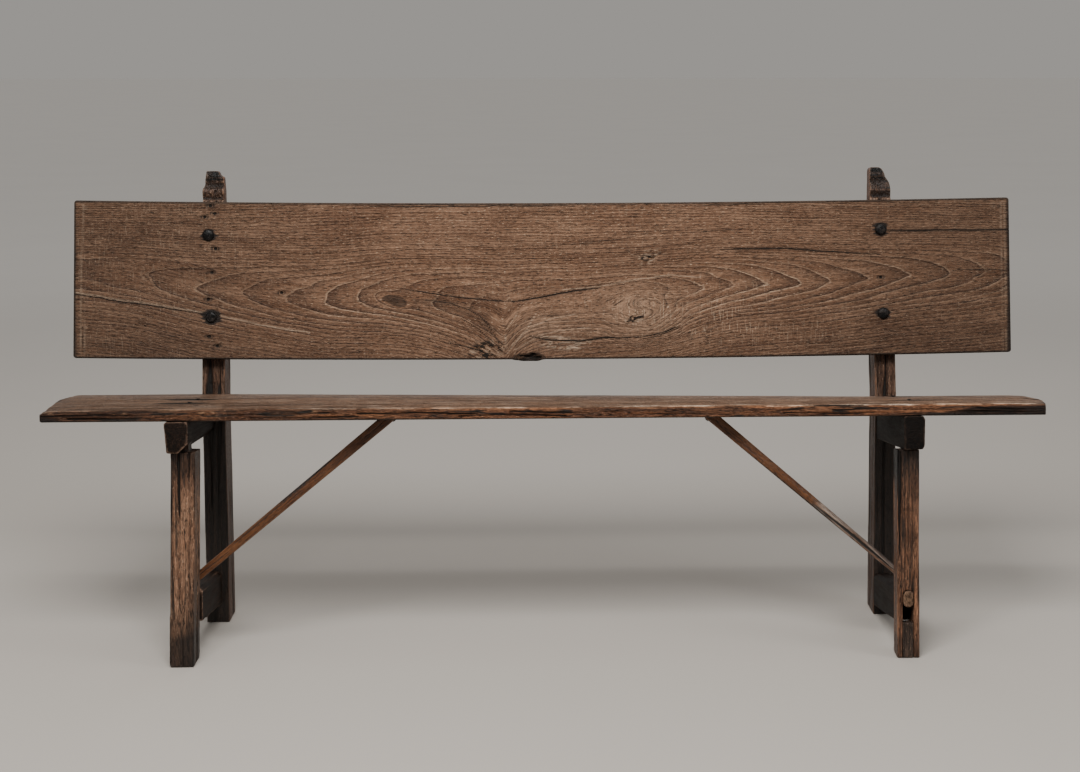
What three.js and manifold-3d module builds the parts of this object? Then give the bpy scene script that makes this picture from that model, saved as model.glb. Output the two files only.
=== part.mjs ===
// An old long bench with a back: a seat plank and a back plank carried by two
// trestle ends. Each end has a rear post, a front leg, a seat bearer and a low
// side stretcher, mortised and tenoned square to each other and pegged. The
// whole frame leans back, and its feet are cut level with the floor.
import * as THREE from 'three';
import { mergeVertices } from 'three/addons/utils/BufferGeometryUtils.js';
import Module from 'manifold-3d';

const wasm = await Module();
wasm.setup();

// Driving dimensions, in millimetres and degrees.
// x runs to the right, y rearwards along the seat and z up the posts, from the
// middle of the seat's front top edge. The bench leans by leanAngle from there.

// Stance and clearances
const seatHeight = 460;
const leanAngle = 6;
const fit = 0.3;
const overrun = 40;

// Seat plank
const seatLeftReach = 888;
const seatRightReach = 906;
const seatLeftBulge = 11;
const seatRightBulge = 16;
const seatDepth = 289;
const seatThickness = 24;
const seatCornerRound = 14;
const seatWear = 1.6;
const seatEdgeShare = 0.81;

// Back plank
const backLeftReach = 887;
const backRightReach = 901;
const backHeight = 300;
const backThickness = 25;
const backRise = 80;
const backSag = 8;
const backEndSlant = 5;
const backCornerRound = 7;
const backChamfer = 1.5;

// Rear posts, front legs and rails
const postDepth = 72;
const postTaperRise = 60;
const legSetback = 15;
const footChamfer = 3;
const bearerProud = 4;
const stretcherHeight = 62;
const throughTenonProud = 3;
const braceFootInset = 2;

// Each end was made by eye, so each has sizes of its own. The post's inner face
// is measured from the middle of the bench, and those of the bearer, the leg and
// the stretcher by how much farther out they lie.
const leftEnd = {
  hand: -1,
  postInner: 611,
  postWidth: 43.5,
  postFootDrift: -5.5,
  postHeadDrift: -2.5,
  postHeadRise: 56,
  postHeadDepth: 26,
  bearerOffset: 19,
  bearerWidth: 42,
  bearerHeight: 56,
  bearerTiltAngle: 1.2,
  legOffset: 9,
  legWidth: 43,
  legDepth: 62,
  legSplay: 6,
  stretcherOffset: 9,
  stretcherWidth: 33,
  stretcherClear: 37,
  stretcherTiltAngle: -1.7,
  braceDepth: 24,
  braceHeadReach: 262,
  braceFootWidth: 14.6,
  braceHeadWidth: 20.4,
};
const rightEnd = {
  hand: 1,
  postInner: 645.5,
  postWidth: 41,
  postFootDrift: -5,
  postHeadDrift: -10,
  postHeadRise: 60,
  postHeadDepth: 38,
  bearerOffset: 2.5,
  bearerWidth: 38,
  bearerHeight: 61,
  bearerTiltAngle: -1.6,
  legOffset: -7.5,
  legWidth: 40.5,
  legDepth: 39,
  legSplay: 0.5,
  stretcherOffset: -4.5,
  stretcherWidth: 34,
  stretcherClear: 19,
  stretcherTiltAngle: -3.6,
  braceDepth: 25,
  braceHeadReach: 288,
  braceFootWidth: 12.6,
  braceHeadWidth: 19.6,
};

// Tenon of the right stretcher, worn down to its upper half, and the repair
// strip let into the leg below it
const wornTenonShoulder = 3;
const wornTenonProud = 4;
const wornTenonDome = 2.5;
const stripSpare = 0.5;

// Iron nails
const backNail = { headRadius: 12, headHeight: 5.5, shankRadius: 3.2 };
const seatNail = { headRadius: 4.8, headHeight: 1.8, shankRadius: 2 };
const braceNail = { headRadius: 4.2, headHeight: 1.6, shankRadius: 1.7 };
const braceNailInset = 13;
const nailPoint = 8;
const oldHoleRadius = 2;
const oldHoleDepth = 9;

// Wooden pegs
const pegRadius = 5;
const pegCover = 9;
const pegProud = 1;

// Proportions taken by eye, as shares of the sizes that they follow
const seatProfileShares = [
  [0.014, 0], [0.35, 0], [0.66, 0], [0.9, 0], [0.988, 0], [1, 0.06], [1, 0.86], [0.975, 0.95],
  [0.8, 1], [0.66, 1], [0.35, 1], [0.2, 1], [0.03, seatEdgeShare + 0.06], [0.012, 0.76],
  [0, 0.6], [0, 0.1],
];
const seatEndShares = {
  left: [[0, 0], [0.35, 0.7], [0.66, 1], [0.9, 0.5], [1, 0.3]],
  right: [[0, 0], [0.35, 0.87], [0.8, 1], [0.93, 0.6], [1, 0]],
};
const seatWaveShares = [[3, 0.5], [7, 0.3], [17, 0.2]];
const seatCornerShares = [0, 0.13, 0.5, 1];
const tenonThicknessShare = 0.55;
const tenonTopShare = 0.86;
const tenonBottomShare = 0.24;
const stubTenonShare = 0.55;
const legTenonShare = 0.6;
const legPegShare = 0.6;
const postPegShare = 0.42;
const stretcherWornShare = 0.22;
const wornTenonWidthShare = 0.56;
const wornTenonHeightShare = 0.5;
const stripDepthShare = 0.54;
const braceFootShares = { left: 0.576, right: 0.765 };
const braceNailShare = 0.36;
const hewnFootShare = 0.36;
const hewnRunShare = 0.59;

// Nails: across the post and up the back plank, across the bearer and back over
// the seat, and how far each is driven into what holds it
const backNailShares = {
  left: [[0.48, 0.257], [0.6, 0.777]],
  right: [[0.38, 0.257], [0.363, 0.797]],
};
const seatNailShares = { left: [[0.34, 0.34], [0.24, 0.56]], right: [[0.71, 0.33], [0.58, 0.81]] };
const backNailBiteShare = 0.76;
const seatNailBiteShare = 0.55;
const braceNailBiteShare = 0.55;
const braceHeadNailBiteShare = 0.42;
const nailHeadShares = [[1, 0], [0.97, 0.3], [0.78, 0.72], [0.42, 0.95], [0, 1]];
const nailTipShares = [0.25, 0.8];
const pegTipShare = 0.8;
const pegHeadShare = 0.85;
const legTenonShares = { left: [0.09, 0.6], right: [0.24, 0.78] };
const legTenonDepthShares = { left: [0.22, 0.74], right: [0.2, 0.8] };

// Section of a bearer, from its inner lower corner round: across, then up
const bearerSectionShares = {
  left: [[0, 0.3], [0.4, 0], [0.9, 0], [1, 0.94], [0.93, 1], [0.03, 1], [0, 0.94]],
  right: [
    [0, 0.03], [0.05, 0], [0.88, 0.02], [0.98, 0.12], [1, 0.9], [0.92, 1], [0.02, 1], [0, 0.97],
  ],
};

// Broken heads of the posts, seen from the front: across, then up
const headOutlineShares = {
  left: [
    [0, 0], [0, 0.34], [0.02, 0.57], [0.03, 0.82], [0.2, 0.84], [0.21, 0.93], [0.28, 1],
    [0.79, 1], [0.82, 0.8], [0.86, 0.52], [0.96, 0.36], [0.97, 0.16], [0.95, 0],
  ],
  right: [
    [0, 0], [0, 0.94], [0.05, 1], [0.48, 1], [0.58, 0.95], [0.7, 0.83], [0.72, 0.72],
    [0.91, 0.55], [0.96, 0.44], [1, 0.2], [1, 0],
  ],
};

// The same heads from the side: how far the face is set back, then up
const headFaceShares = {
  left: [
    [0.24, 0.02], [0.1, 0.13], [0, 0.25], [0.03, 0.37], [0.3, 0.5], [0.14, 0.62], [0.08, 0.84],
    [0.24, 1],
  ],
  right: [
    [0.14, 0.02], [0.12, 0.12], [0.02, 0.24], [0.04, 0.42], [0.16, 0.56], [0.07, 0.72], [0.12, 1],
  ],
};

// Old nail holes in the back plank: along its length, then up
const oldHoleShares = [
  [0.1436, 0.963], [0.1374, 0.893], [0.148, 0.913], [0.1486, 0.69], [0.1447, 0.54],
  [0.1402, 0.37], [0.1408, 0.133], [0.1497, 0.073], [0.8607, 0.49],
];

// Facets
const seatSteps = 46;
const sagSteps = 20;
const arcSteps = 6;
const nailSides = 14;
const boreSides = 12;
const pegSides = 10;

// Colours
const ironBlack = 0x2b2927;
const plankBrown = 0x6b4c38;
const seatBrown = 0x6e523f;
const postBrown = 0x4f382a;
const darkBrown = 0x2e221b;
const braceBrown = 0x5e371d;
const stripGrey = 0x4a413a;
const pegBrown = 0x5a4332;

// Places worked out from the driving dimensions
const lean = THREE.MathUtils.degToRad(leanAngle);
const seatEdge = seatThickness * seatEdgeShare;
const postFront = seatDepth + fit;
const backFront = postFront - fit - backThickness;

const floorAt = (y) => (y * Math.sin(lean) - seatHeight) / Math.cos(lean);
const slopeOf = (angle) => Math.tan(THREE.MathUtils.degToRad(angle));
const mix = THREE.MathUtils.lerp;
const sideName = (end) => (end.hand < 0 ? 'left' : 'right');
const bearerInner = (end) => end.postInner + end.bearerOffset;
const stretcherInner = (end) => end.postInner + end.stretcherOffset;

// The seat lies flat on each bearer and twists evenly between them.
function seatSlopeAt(x) {
  const share = THREE.MathUtils.clamp(
    (x + bearerInner(leftEnd)) / (bearerInner(leftEnd) + bearerInner(rightEnd)), 0, 1);
  return mix(slopeOf(leftEnd.bearerTiltAngle), slopeOf(rightEnd.bearerTiltAngle), share);
}

const seatUndersideAt = (x, y) => y * seatSlopeAt(x) - seatEdge;

// A rail is square in section and turned by its tilt about one point.
const bearerLine = (end) => ({
  y: 0,
  z: -seatEdge - fit,
  tilt: end.bearerTiltAngle,
  height: end.bearerHeight,
});
const stretcherLine = (end) => ({
  y: postFront,
  z: floorAt(postFront) + end.stretcherClear + stretcherHeight,
  tilt: end.stretcherTiltAngle,
  height: stretcherHeight,
});

function railAt(line, y, upShare) {
  const drop = line.height * (1 - upShare) / Math.cos(THREE.MathUtils.degToRad(line.tilt));
  return line.z + (y - line.y) * slopeOf(line.tilt) - drop;
}

// Inner faces drift a little from foot to head.
function postInnerAt(end, z) {
  const drift = z < 0
    ? end.postFootDrift * z / floorAt(postFront)
    : end.postHeadDrift * z / (backRise + backHeight);
  return end.postInner + drift;
}

const legInnerAt = (end, z) => (
  end.postInner + end.legOffset + end.legSplay * z / floorAt(legSetback));

// The post's depth falls evenly from just above the seat to its head.
function postDepthAt(end, z) {
  const top = backRise + backHeight + end.postHeadRise;
  const share = THREE.MathUtils.clamp((z - postTaperRise) / (top - postTaperRise), 0, 1);
  return mix(postDepth, end.postHeadDepth, share);
}

// Where two pieces overlap across the bench, and a tenon centred in there
function sharedSpan(a, b, share) {
  const inner = Math.max(a[0], b[0]);
  const outer = Math.min(a[1], b[1]);
  const spare = (outer - inner) * (1 - share) / 2;
  return [inner + spare, outer - spare];
}

const postSpan = (end, z) => [postInnerAt(end, z), postInnerAt(end, z) + end.postWidth];
const legSpan = (end, z) => [legInnerAt(end, z), legInnerAt(end, z) + end.legWidth];
const bearerSpan = (end) => [bearerInner(end), bearerInner(end) + end.bearerWidth];
const stretcherSpan = (end) => [stretcherInner(end), stretcherInner(end) + end.stretcherWidth];
const grown = (span, by) => [span[0] - by, span[1] + by];

// Solids
function solidOf(geometry) {
  const bare = geometry.clone();
  bare.deleteAttribute('normal');
  bare.deleteAttribute('uv');
  const merged = mergeVertices(bare);
  return new wasm.Manifold(new wasm.Mesh({
    numProp: 3,
    vertProperties: new Float32Array(merged.attributes.position.array),
    triVerts: new Uint32Array(merged.index.array),
  }));
}

function geometryOf(solid) {
  const mesh = solid.getMesh();
  const geometry = new THREE.BufferGeometry();
  geometry.setAttribute('position', new THREE.BufferAttribute(mesh.vertProperties, 3));
  geometry.setIndex(new THREE.BufferAttribute(mesh.triVerts, 1));
  return geometry;
}

function block([x0, x1], [y0, y1], [z0, z1]) {
  const geometry = new THREE.BoxGeometry(x1 - x0, y1 - y0, z1 - z0);
  return geometry.translate((x0 + x1) / 2, (y0 + y1) / 2, (z0 + z1) / 2);
}

// Measures outwards from the middle become x on the side that the end is on.
const acrossOf = (end, [inner, outer]) => (end.hand < 0 ? [-outer, -inner] : [inner, outer]);

// An outline of [y, z] points drawn out along x
function alongX(points, [x0, x1]) {
  const shape = new THREE.Shape(points.map(([y, z]) => new THREE.Vector2(y, z)));
  const geometry = new THREE.ExtrudeGeometry(shape, { depth: x1 - x0, bevelEnabled: false });
  const turn = new THREE.Matrix4().makeBasis(
    new THREE.Vector3(0, 1, 0), new THREE.Vector3(0, 0, 1), new THREE.Vector3(1, 0, 0));
  return geometry.applyMatrix4(turn).translate(x0, 0, 0);
}

// A shape of x and z drawn out along y, with its arrises taken off by bevel
function shapeAlongY(shape, [y0, y1], bevel, curveSegments) {
  const geometry = new THREE.ExtrudeGeometry(shape, {
    depth: y1 - y0 - 2 * bevel,
    bevelEnabled: bevel > 0,
    bevelSize: bevel,
    bevelOffset: -bevel,
    bevelThickness: bevel,
    bevelSegments: 1,
    curveSegments,
  });
  return geometry.rotateX(Math.PI / 2).translate(0, y1 - bevel, 0);
}

function alongY(points, span) {
  const shape = new THREE.Shape(points.map(([x, z]) => new THREE.Vector2(x, z)));
  return shapeAlongY(shape, span, 0, 1);
}

function tilted(geometry, line) {
  return geometry
    .translate(0, -line.y, -line.z)
    .rotateX(THREE.MathUtils.degToRad(line.tilt))
    .translate(0, line.y, line.z);
}

// A closed skin over rings of the same number of points
function loft(rings) {
  const count = rings[0].length;
  const indices = [];
  rings.slice(1).forEach((ring, i) => {
    for (let j = 0; j < count; j++) {
      const a = i * count + j;
      const b = i * count + (j + 1) % count;
      indices.push(a, b, a + count, b, b + count, a + count);
    }
  });
  const points = rings.flat();
  const last = points.length - count;
  const ends = [rings[0], rings.at(-1)].map((ring) => ring
    .reduce((sum, p) => sum.add(p), new THREE.Vector3())
    .divideScalar(count));
  for (let j = 0; j < count; j++) {
    const next = (j + 1) % count;
    indices.push(points.length, next, j, points.length + 1, last + j, last + next);
  }
  const geometry = new THREE.BufferGeometry().setFromPoints([...points, ...ends]);
  geometry.setIndex(indices);
  return geometry;
}

// A block that covers everything above the plane through three points
function blockAbove(a, b, c, size) {
  const along = b.clone().sub(a).normalize();
  const up = along.clone().cross(c.clone().sub(a)).normalize();
  if (up.z < 0) up.negate();
  const side = up.clone().cross(along);
  const turn = new THREE.Matrix4().makeBasis(along, side, up).setPosition(a);
  return new THREE.BoxGeometry(size, size, size).translate(0, 0, size / 2).applyMatrix4(turn);
}

// Turned pieces stand on z = 0 under their head and are placed by a point and
// the way that they are driven.
function turned(profile, sides) {
  return new THREE.LatheGeometry(profile.map(([r, z]) => new THREE.Vector2(r, z)), sides)
    .rotateX(Math.PI / 2);
}

function nailGeometry({ headRadius, headHeight, shankRadius }, length) {
  const [tip, neck] = nailTipShares;
  return turned([
    [0, -length],
    [shankRadius * tip, -length],
    [shankRadius * neck, nailPoint - length],
    [shankRadius, 0],
    ...nailHeadShares.map(([out, up]) => [headRadius * out, headHeight * up]),
  ], nailSides);
}

function boreGeometry(radius, length) {
  return turned([[0, -length], [radius, -length], [radius, overrun], [0, overrun]], boreSides);
}

function driven(place) {
  const drive = new THREE.Vector3(0, 0, -1);
  const turn = new THREE.Quaternion().setFromUnitVectors(drive, place.direction.clone().normalize());
  return new THREE.Matrix4().compose(place.point, turn, new THREE.Vector3(1, 1, 1));
}

function nailBore(nail, place) {
  const bore = boreGeometry(nail.shankRadius + fit, place.length + fit);
  return solidOf(bore.applyMatrix4(driven(place)));
}

// Places of the nails, each with a length that ends inside what holds it
function backNailPlaces(end) {
  return backNailShares[sideName(end)].map(([across, up]) => {
    const z = backRise + backHeight * up;
    return {
      point: new THREE.Vector3(end.hand * mix(...postSpan(end, z), across), backFront - fit, z),
      direction: new THREE.Vector3(0, 1, 0),
      length: backThickness + fit + postDepthAt(end, z) * backNailBiteShare,
    };
  });
}

function seatNailPlaces(end) {
  return seatNailShares[sideName(end)].map(([across, along]) => {
    const x = end.hand * mix(...bearerSpan(end), across);
    const y = seatDepth * along;
    const z = seatUndersideAt(x, y) + seatThickness + fit;
    return {
      point: new THREE.Vector3(x, y, z),
      direction: new THREE.Vector3(0, 0, -1),
      length: seatThickness + fit + end.bearerHeight * seatNailBiteShare,
    };
  });
}

// The lower and upper edges of a brace, each as a point and a rise outwards
function braceEdges(end) {
  const y = legSetback + end.legDepth;
  const reach = mix(...stretcherSpan(end), braceFootShares[sideName(end)]);
  const foot = new THREE.Vector2(reach, railAt(stretcherLine(end), y, 1));
  const head = new THREE.Vector2(end.braceHeadReach, seatUndersideAt(end.hand * end.braceHeadReach, y));
  const run = head.clone().sub(foot);
  const square = new THREE.Vector2(-run.y, run.x).normalize().negate();
  if (square.y < 0) square.negate();
  const upperFoot = foot.clone().addScaledVector(square, end.braceFootWidth);
  const upperHead = head.clone().addScaledVector(square, end.braceHeadWidth);
  return { foot, head, upperFoot, upperHead, square };
}

const onLine = (a, b, share) => a.clone().lerp(b, share);
const upOnLine = (a, b, across) => mix(a.y, b.y, (across - a.x) / (b.x - a.x));

function braceFootNailPlace(end) {
  const { foot, head, upperFoot, upperHead } = braceEdges(end);
  const across = mix(legInnerAt(end, foot.y), foot.x, braceNailShare);
  const z = (upOnLine(foot, head, across) + upOnLine(upperFoot, upperHead, across)) / 2;
  const y = legSetback + end.legDepth + fit + end.braceDepth + fit;
  return {
    point: new THREE.Vector3(end.hand * across, y, z),
    direction: new THREE.Vector3(0, -1, 0),
    length: end.braceDepth + 2 * fit + end.legDepth * braceNailBiteShare,
  };
}

function braceHeadNailPlace(end) {
  const { foot, head, square } = braceEdges(end);
  const share = braceNailInset / foot.distanceTo(head);
  const start = onLine(head, foot, share).addScaledVector(square, -fit);
  const y = legSetback + end.legDepth + fit + end.braceDepth / 2;
  const run = seatUndersideAt(end.hand * start.x, y) - start.y + seatEdge * braceHeadNailBiteShare;
  return {
    point: new THREE.Vector3(end.hand * start.x, y, start.y),
    direction: new THREE.Vector3(end.hand * square.x, 0, square.y),
    length: run / square.y,
  };
}

// Tenons, as spans across the bench, along it and up, and the pegs in them
function bearerTenon(end) {
  const line = bearerLine(end);
  const z = railAt(line, postFront, 0.5);
  return {
    line,
    across: sharedSpan(bearerSpan(end), postSpan(end, z), tenonThicknessShare),
    along: [postFront - overrun, postFront + postDepth + throughTenonProud],
    up: [line.z - line.height * (1 - tenonBottomShare), line.z - line.height * (1 - tenonTopShare)],
  };
}

function stretcherTenon(end) {
  const line = stretcherLine(end);
  const z = railAt(line, postFront, 0.5);
  return {
    line,
    across: sharedSpan(stretcherSpan(end), postSpan(end, z), tenonThicknessShare),
    along: [postFront - overrun, postFront + postDepth + throughTenonProud],
    up: [line.z - line.height * (1 - tenonBottomShare), line.z - line.height * (1 - tenonTopShare)],
  };
}

function stubTenon(end) {
  const line = stretcherLine(end);
  const legBack = legSetback + end.legDepth;
  const z = railAt(line, legBack, 0.5);
  return {
    line,
    across: sharedSpan(stretcherSpan(end), legSpan(end, z), tenonThicknessShare),
    along: [legBack - end.legDepth * stubTenonShare, legBack + overrun],
    up: [line.z - line.height * (1 - tenonBottomShare), line.z - line.height * (1 - tenonTopShare)],
  };
}

function tenonSolid(end, tenon, gap) {
  const geometry = block(
    acrossOf(end, grown(tenon.across, gap)), grown(tenon.along, gap), grown(tenon.up, gap));
  return solidOf(tilted(geometry, tenon.line));
}

// The leg's tenon stands up into the bearer.
function legTenonSolid(end, gap) {
  const across = legTenonShares[sideName(end)].map((share) => mix(...bearerSpan(end), share));
  const along = legTenonDepthShares[sideName(end)].map((share) => legSetback + end.legDepth * share);
  const base = railAt(bearerLine(end), legSetback, 0);
  return solidOf(block(
    acrossOf(end, grown(across, gap)),
    grown(along, gap),
    [base - overrun, base + end.bearerHeight * legTenonShare + gap]));
}

// The right stretcher's front tenon has a round-topped section.
function roundEndedShape(middle, width, bottom, top, roundBottom) {
  const radius = width / 2;
  const shape = new THREE.Shape();
  shape.absarc(middle, top - radius, radius, 0, Math.PI, false);
  if (roundBottom) {
    shape.absarc(middle, bottom + radius, radius, Math.PI, 2 * Math.PI, false);
  } else {
    shape.lineTo(middle - radius, bottom);
    shape.lineTo(middle + radius, bottom);
  }
  shape.closePath();
  return shape;
}

function wornTenonPlace(end) {
  const line = stretcherLine(end);
  const z = railAt(line, legSetback, 1);
  const [inner, outer] = sharedSpan(stretcherSpan(end), legSpan(end, z), 1);
  return {
    line,
    middle: end.hand * (inner + outer) / 2,
    width: end.stretcherWidth * wornTenonWidthShare,
    height: line.height * wornTenonHeightShare,
    top: line.z - wornTenonShoulder,
  };
}

function wornTenonSolid(end) {
  const { line, middle, width, height, top } = wornTenonPlace(end);
  const shape = roundEndedShape(middle, width, top - height, top, true);
  const span = [legSetback - wornTenonProud, legSetback + end.legDepth + overrun];
  return solidOf(tilted(shapeAlongY(shape, span, wornTenonDome, arcSteps), line));
}

// The slot runs on through the foot of the leg, where the strip fills its front.
function wornMortiseSolid(end) {
  const { line, middle, width, top } = wornTenonPlace(end);
  const shape = roundEndedShape(middle, width + 2 * fit, line.z - line.height, top + fit, false);
  const span = [legSetback - overrun, legSetback + end.legDepth + overrun];
  return solidOf(tilted(shapeAlongY(shape, span, 0, arcSteps), line));
}

function stripSpans(end) {
  const { line, middle, width } = wornTenonPlace(end);
  const half = width / 2 + stripSpare;
  return {
    across: [middle - half, middle + half],
    along: [legSetback, legSetback + end.legDepth * stripDepthShare],
    up: [floorAt(legSetback), railAt(line, legSetback, 0)],
  };
}

// Pegs go in from the outer face and stop short of the inner one.
function pegPlaces(end) {
  const bearer = bearerLine(end);
  const stretcher = stretcherLine(end);
  const postPegY = postFront + postDepth * postPegShare;
  const legBack = legSetback + end.legDepth;
  const [tenonFront, tenonBack] = legTenonDepthShares[sideName(end)];
  const legTenonY = legSetback + end.legDepth * (tenonFront + tenonBack) / 2;
  const legTenonZ = railAt(bearer, legTenonY, 0) + end.bearerHeight * legTenonShare * legPegShare;
  const bearerZ = railAt(bearer, postPegY, (tenonTopShare + tenonBottomShare) / 2);
  const stretcherZ = railAt(stretcher, postPegY, (tenonTopShare + tenonBottomShare) / 2);
  const frontY = end.hand < 0
    ? legBack - end.legDepth * stubTenonShare / 2
    : legSetback + end.legDepth / 2;
  const frontZ = end.hand < 0
    ? railAt(stretcher, frontY, (tenonTopShare + tenonBottomShare) / 2)
    : railAt(stretcher, frontY, 1 - wornTenonHeightShare / 2) - wornTenonShoulder;
  return {
    leg_head: { y: legTenonY, z: legTenonZ, span: bearerSpan(end) },
    bearer_post: { y: postPegY, z: bearerZ, span: postSpan(end, bearerZ) },
    stretcher_post: { y: postPegY, z: stretcherZ, span: postSpan(end, stretcherZ) },
    stretcher_leg: { y: frontY, z: frontZ, span: legSpan(end, frontZ) },
  };
}

const pegLength = (peg) => peg.span[1] - peg.span[0] - pegCover;

function pegGeometry(peg) {
  const length = pegLength(peg);
  return turned([
    [0, -length], [pegRadius * pegTipShare, -length], [pegRadius, -length * pegTipShare],
    [pegRadius, 0], [pegRadius * pegHeadShare, pegProud], [0, pegProud],
  ], pegSides);
}

function pegPlace(end, peg) {
  return {
    point: new THREE.Vector3(end.hand * peg.span[1], peg.y, peg.z),
    direction: new THREE.Vector3(-end.hand, 0, 0),
  };
}

function pegBore(end, peg) {
  const bore = boreGeometry(pegRadius + fit, pegLength(peg) + fit);
  return solidOf(bore.applyMatrix4(driven(pegPlace(end, peg))));
}

function withoutBores(solid, bores) {
  return bores.reduce((left, bore) => left.subtract(bore), solid);
}

// The value of a table of points at one place along it
function valueAt(table, along) {
  const next = Math.max(1, table.findIndex(([place]) => place >= along));
  const [[a, from], [b, to]] = [table[next - 1], table[next]];
  return mix(from, to, (along - a) / (b - a));
}

// Seat plank: worn edges, a crowned top, bulging ends and an even twist
function seatRing(x, inset, share) {
  const waves = seatWaveShares.reduce((sum, [turns, part], i) => (
    sum + part * Math.sin(2 * Math.PI * turns * share + i)), 0);
  return seatProfileShares.map(([along, up]) => {
    const depth = seatDepth - 2 * inset;
    const front = inset + (along < 0.5 ? (1 + waves) * seatWear * (1 - along) : 0);
    const y = mix(front, inset + depth, along);
    const bulge = x < 0
      ? seatLeftBulge * valueAt(seatEndShares.left, along) * (x / seatLeftReach) ** 3
      : seatRightBulge * valueAt(seatEndShares.right, along) * (x / seatRightReach) ** 3;
    return new THREE.Vector3(x + bulge, y, seatUndersideAt(x, y) + seatThickness * up);
  });
}

function seatStations() {
  const length = seatLeftReach + seatRightReach;
  const near = seatCornerShares.map((share) => share * seatCornerRound);
  const body = [];
  for (let i = 1; i < seatSteps; i++) {
    body.push(mix(seatCornerRound, length - seatCornerRound, i / seatSteps));
  }
  return [...near, ...body, ...near.map((d) => length - d).reverse()];
}

function seatBody() {
  const length = seatLeftReach + seatRightReach;
  const rings = seatStations().map((d) => {
    const fromEnd = Math.min(d, length - d, seatCornerRound);
    const inset = seatCornerRound - Math.sqrt(seatCornerRound ** 2 - (seatCornerRound - fromEnd) ** 2);
    return seatRing(d - seatLeftReach, inset, d / length);
  });
  return solidOf(loft(rings));
}

function seatPlank() {
  const bores = [leftEnd, rightEnd].flatMap((end) => [
    ...seatNailPlaces(end).map((place) => nailBore(seatNail, place)),
    nailBore(braceNail, braceHeadNailPlace(end)),
  ]);
  return withoutBores(seatBody(), bores);
}

// Back plank: one wide board, bowed a little along its length
function backShape() {
  const top = backRise + backHeight;
  const left = -backLeftReach;
  const right = backRightReach;
  const r = backCornerRound;
  const middle = (left + right) / 2;
  const shape = new THREE.Shape();
  shape.moveTo(left - backEndSlant + r, backRise);
  shape.quadraticCurveTo(middle, backRise - 2 * backSag, right + backEndSlant - r, backRise);
  shape.quadraticCurveTo(right + backEndSlant, backRise, right + backEndSlant, backRise + r);
  shape.lineTo(right, top - r);
  shape.quadraticCurveTo(right, top, right - r, top);
  shape.quadraticCurveTo(middle, top - 2 * backSag, left + r, top);
  shape.quadraticCurveTo(left, top, left, top - r);
  shape.lineTo(left - backEndSlant, backRise + r);
  shape.quadraticCurveTo(left - backEndSlant, backRise, left - backEndSlant + r, backRise);
  return shape;
}

function oldHole([along, up]) {
  const place = {
    point: new THREE.Vector3(
      mix(-backLeftReach, backRightReach, along), backFront, backRise + backHeight * up),
    direction: new THREE.Vector3(0, 1, 0),
  };
  const bore = boreGeometry(oldHoleRadius, oldHoleDepth);
  return solidOf(bore.applyMatrix4(driven(place)));
}

function backPlank() {
  const span = [backFront, backFront + backThickness];
  const board = solidOf(shapeAlongY(backShape(), span, backChamfer, sagSteps));
  const bores = [leftEnd, rightEnd].flatMap((end) => (
    backNailPlaces(end).map((place) => nailBore(backNail, place))));
  return withoutBores(board, [...bores, ...oldHoleShares.map(oldHole)]);
}

// Rear post: a straight front that carries the back, tapered behind, with a
// broken carved head, as the crossing of its side and front outlines
function postSideOutline(end) {
  const headBase = backRise + backHeight;
  const back = postFront + postDepth;
  return [
    [postFront, floorAt(postFront)],
    [postFront, headBase],
    ...headFaceShares[sideName(end)].map(([setback, up]) => [
      postFront + end.postHeadDepth * setback, headBase + end.postHeadRise * up]),
    [postFront + end.postHeadDepth, headBase + end.postHeadRise],
    [back, postTaperRise],
    [back, floorAt(back)],
  ];
}

function postFrontOutline(end) {
  const headBase = backRise + backHeight;
  const low = floorAt(postFront) - overrun;
  const inner = (z) => postInnerAt(end, z);
  return [
    [inner(low), low],
    [inner(0), 0],
    ...headOutlineShares[sideName(end)].map(([across, up]) => [
      inner(headBase) + end.postWidth * across, headBase + end.postHeadRise * up]),
    [inner(0) + end.postWidth, 0],
    [inner(low) + end.postWidth, low],
  ].map(([across, z]) => [end.hand * across, z]);
}

function rearPost(end) {
  const pegs = pegPlaces(end);
  const width = grown(postSpan(end, 0), overrun);
  const depth = grown([postFront, postFront + postDepth], overrun);
  const side = solidOf(alongX(postSideOutline(end), acrossOf(end, width)));
  const front = solidOf(alongY(postFrontOutline(end), depth));
  const mortises = [tenonSolid(end, bearerTenon(end), fit), tenonSolid(end, stretcherTenon(end), fit)];
  return withoutBores(side.intersect(front), [
    ...mortises,
    ...backNailPlaces(end).map((place) => nailBore(backNail, place)),
    pegBore(end, pegs.bearer_post),
    pegBore(end, pegs.stretcher_post),
  ]);
}

// Front leg: square, splayed a little, with its foot cut level with the floor
function legBody(end) {
  const front = legSetback;
  const back = legSetback + end.legDepth;
  const bearer = bearerLine(end);
  const shoulder = (y) => railAt(bearer, y, 0) - fit;
  const side = [
    [front + footChamfer, floorAt(front + footChamfer)],
    [front, floorAt(front) + footChamfer],
    [front, shoulder(front)],
    [back, shoulder(back)],
    [back, floorAt(back) + footChamfer],
    [back - footChamfer, floorAt(back - footChamfer)],
  ];
  const low = floorAt(back) - overrun;
  const faces = [
    [legInnerAt(end, low), low],
    [legInnerAt(end, 0), 0],
    [legInnerAt(end, 0) + end.legWidth, 0],
    [legInnerAt(end, low) + end.legWidth, low],
  ].map(([across, z]) => [end.hand * across, z]);
  return solidOf(alongX(side, acrossOf(end, grown(legSpan(end, 0), overrun))))
    .intersect(solidOf(alongY(faces, [front - overrun, back + overrun])));
}

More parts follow.
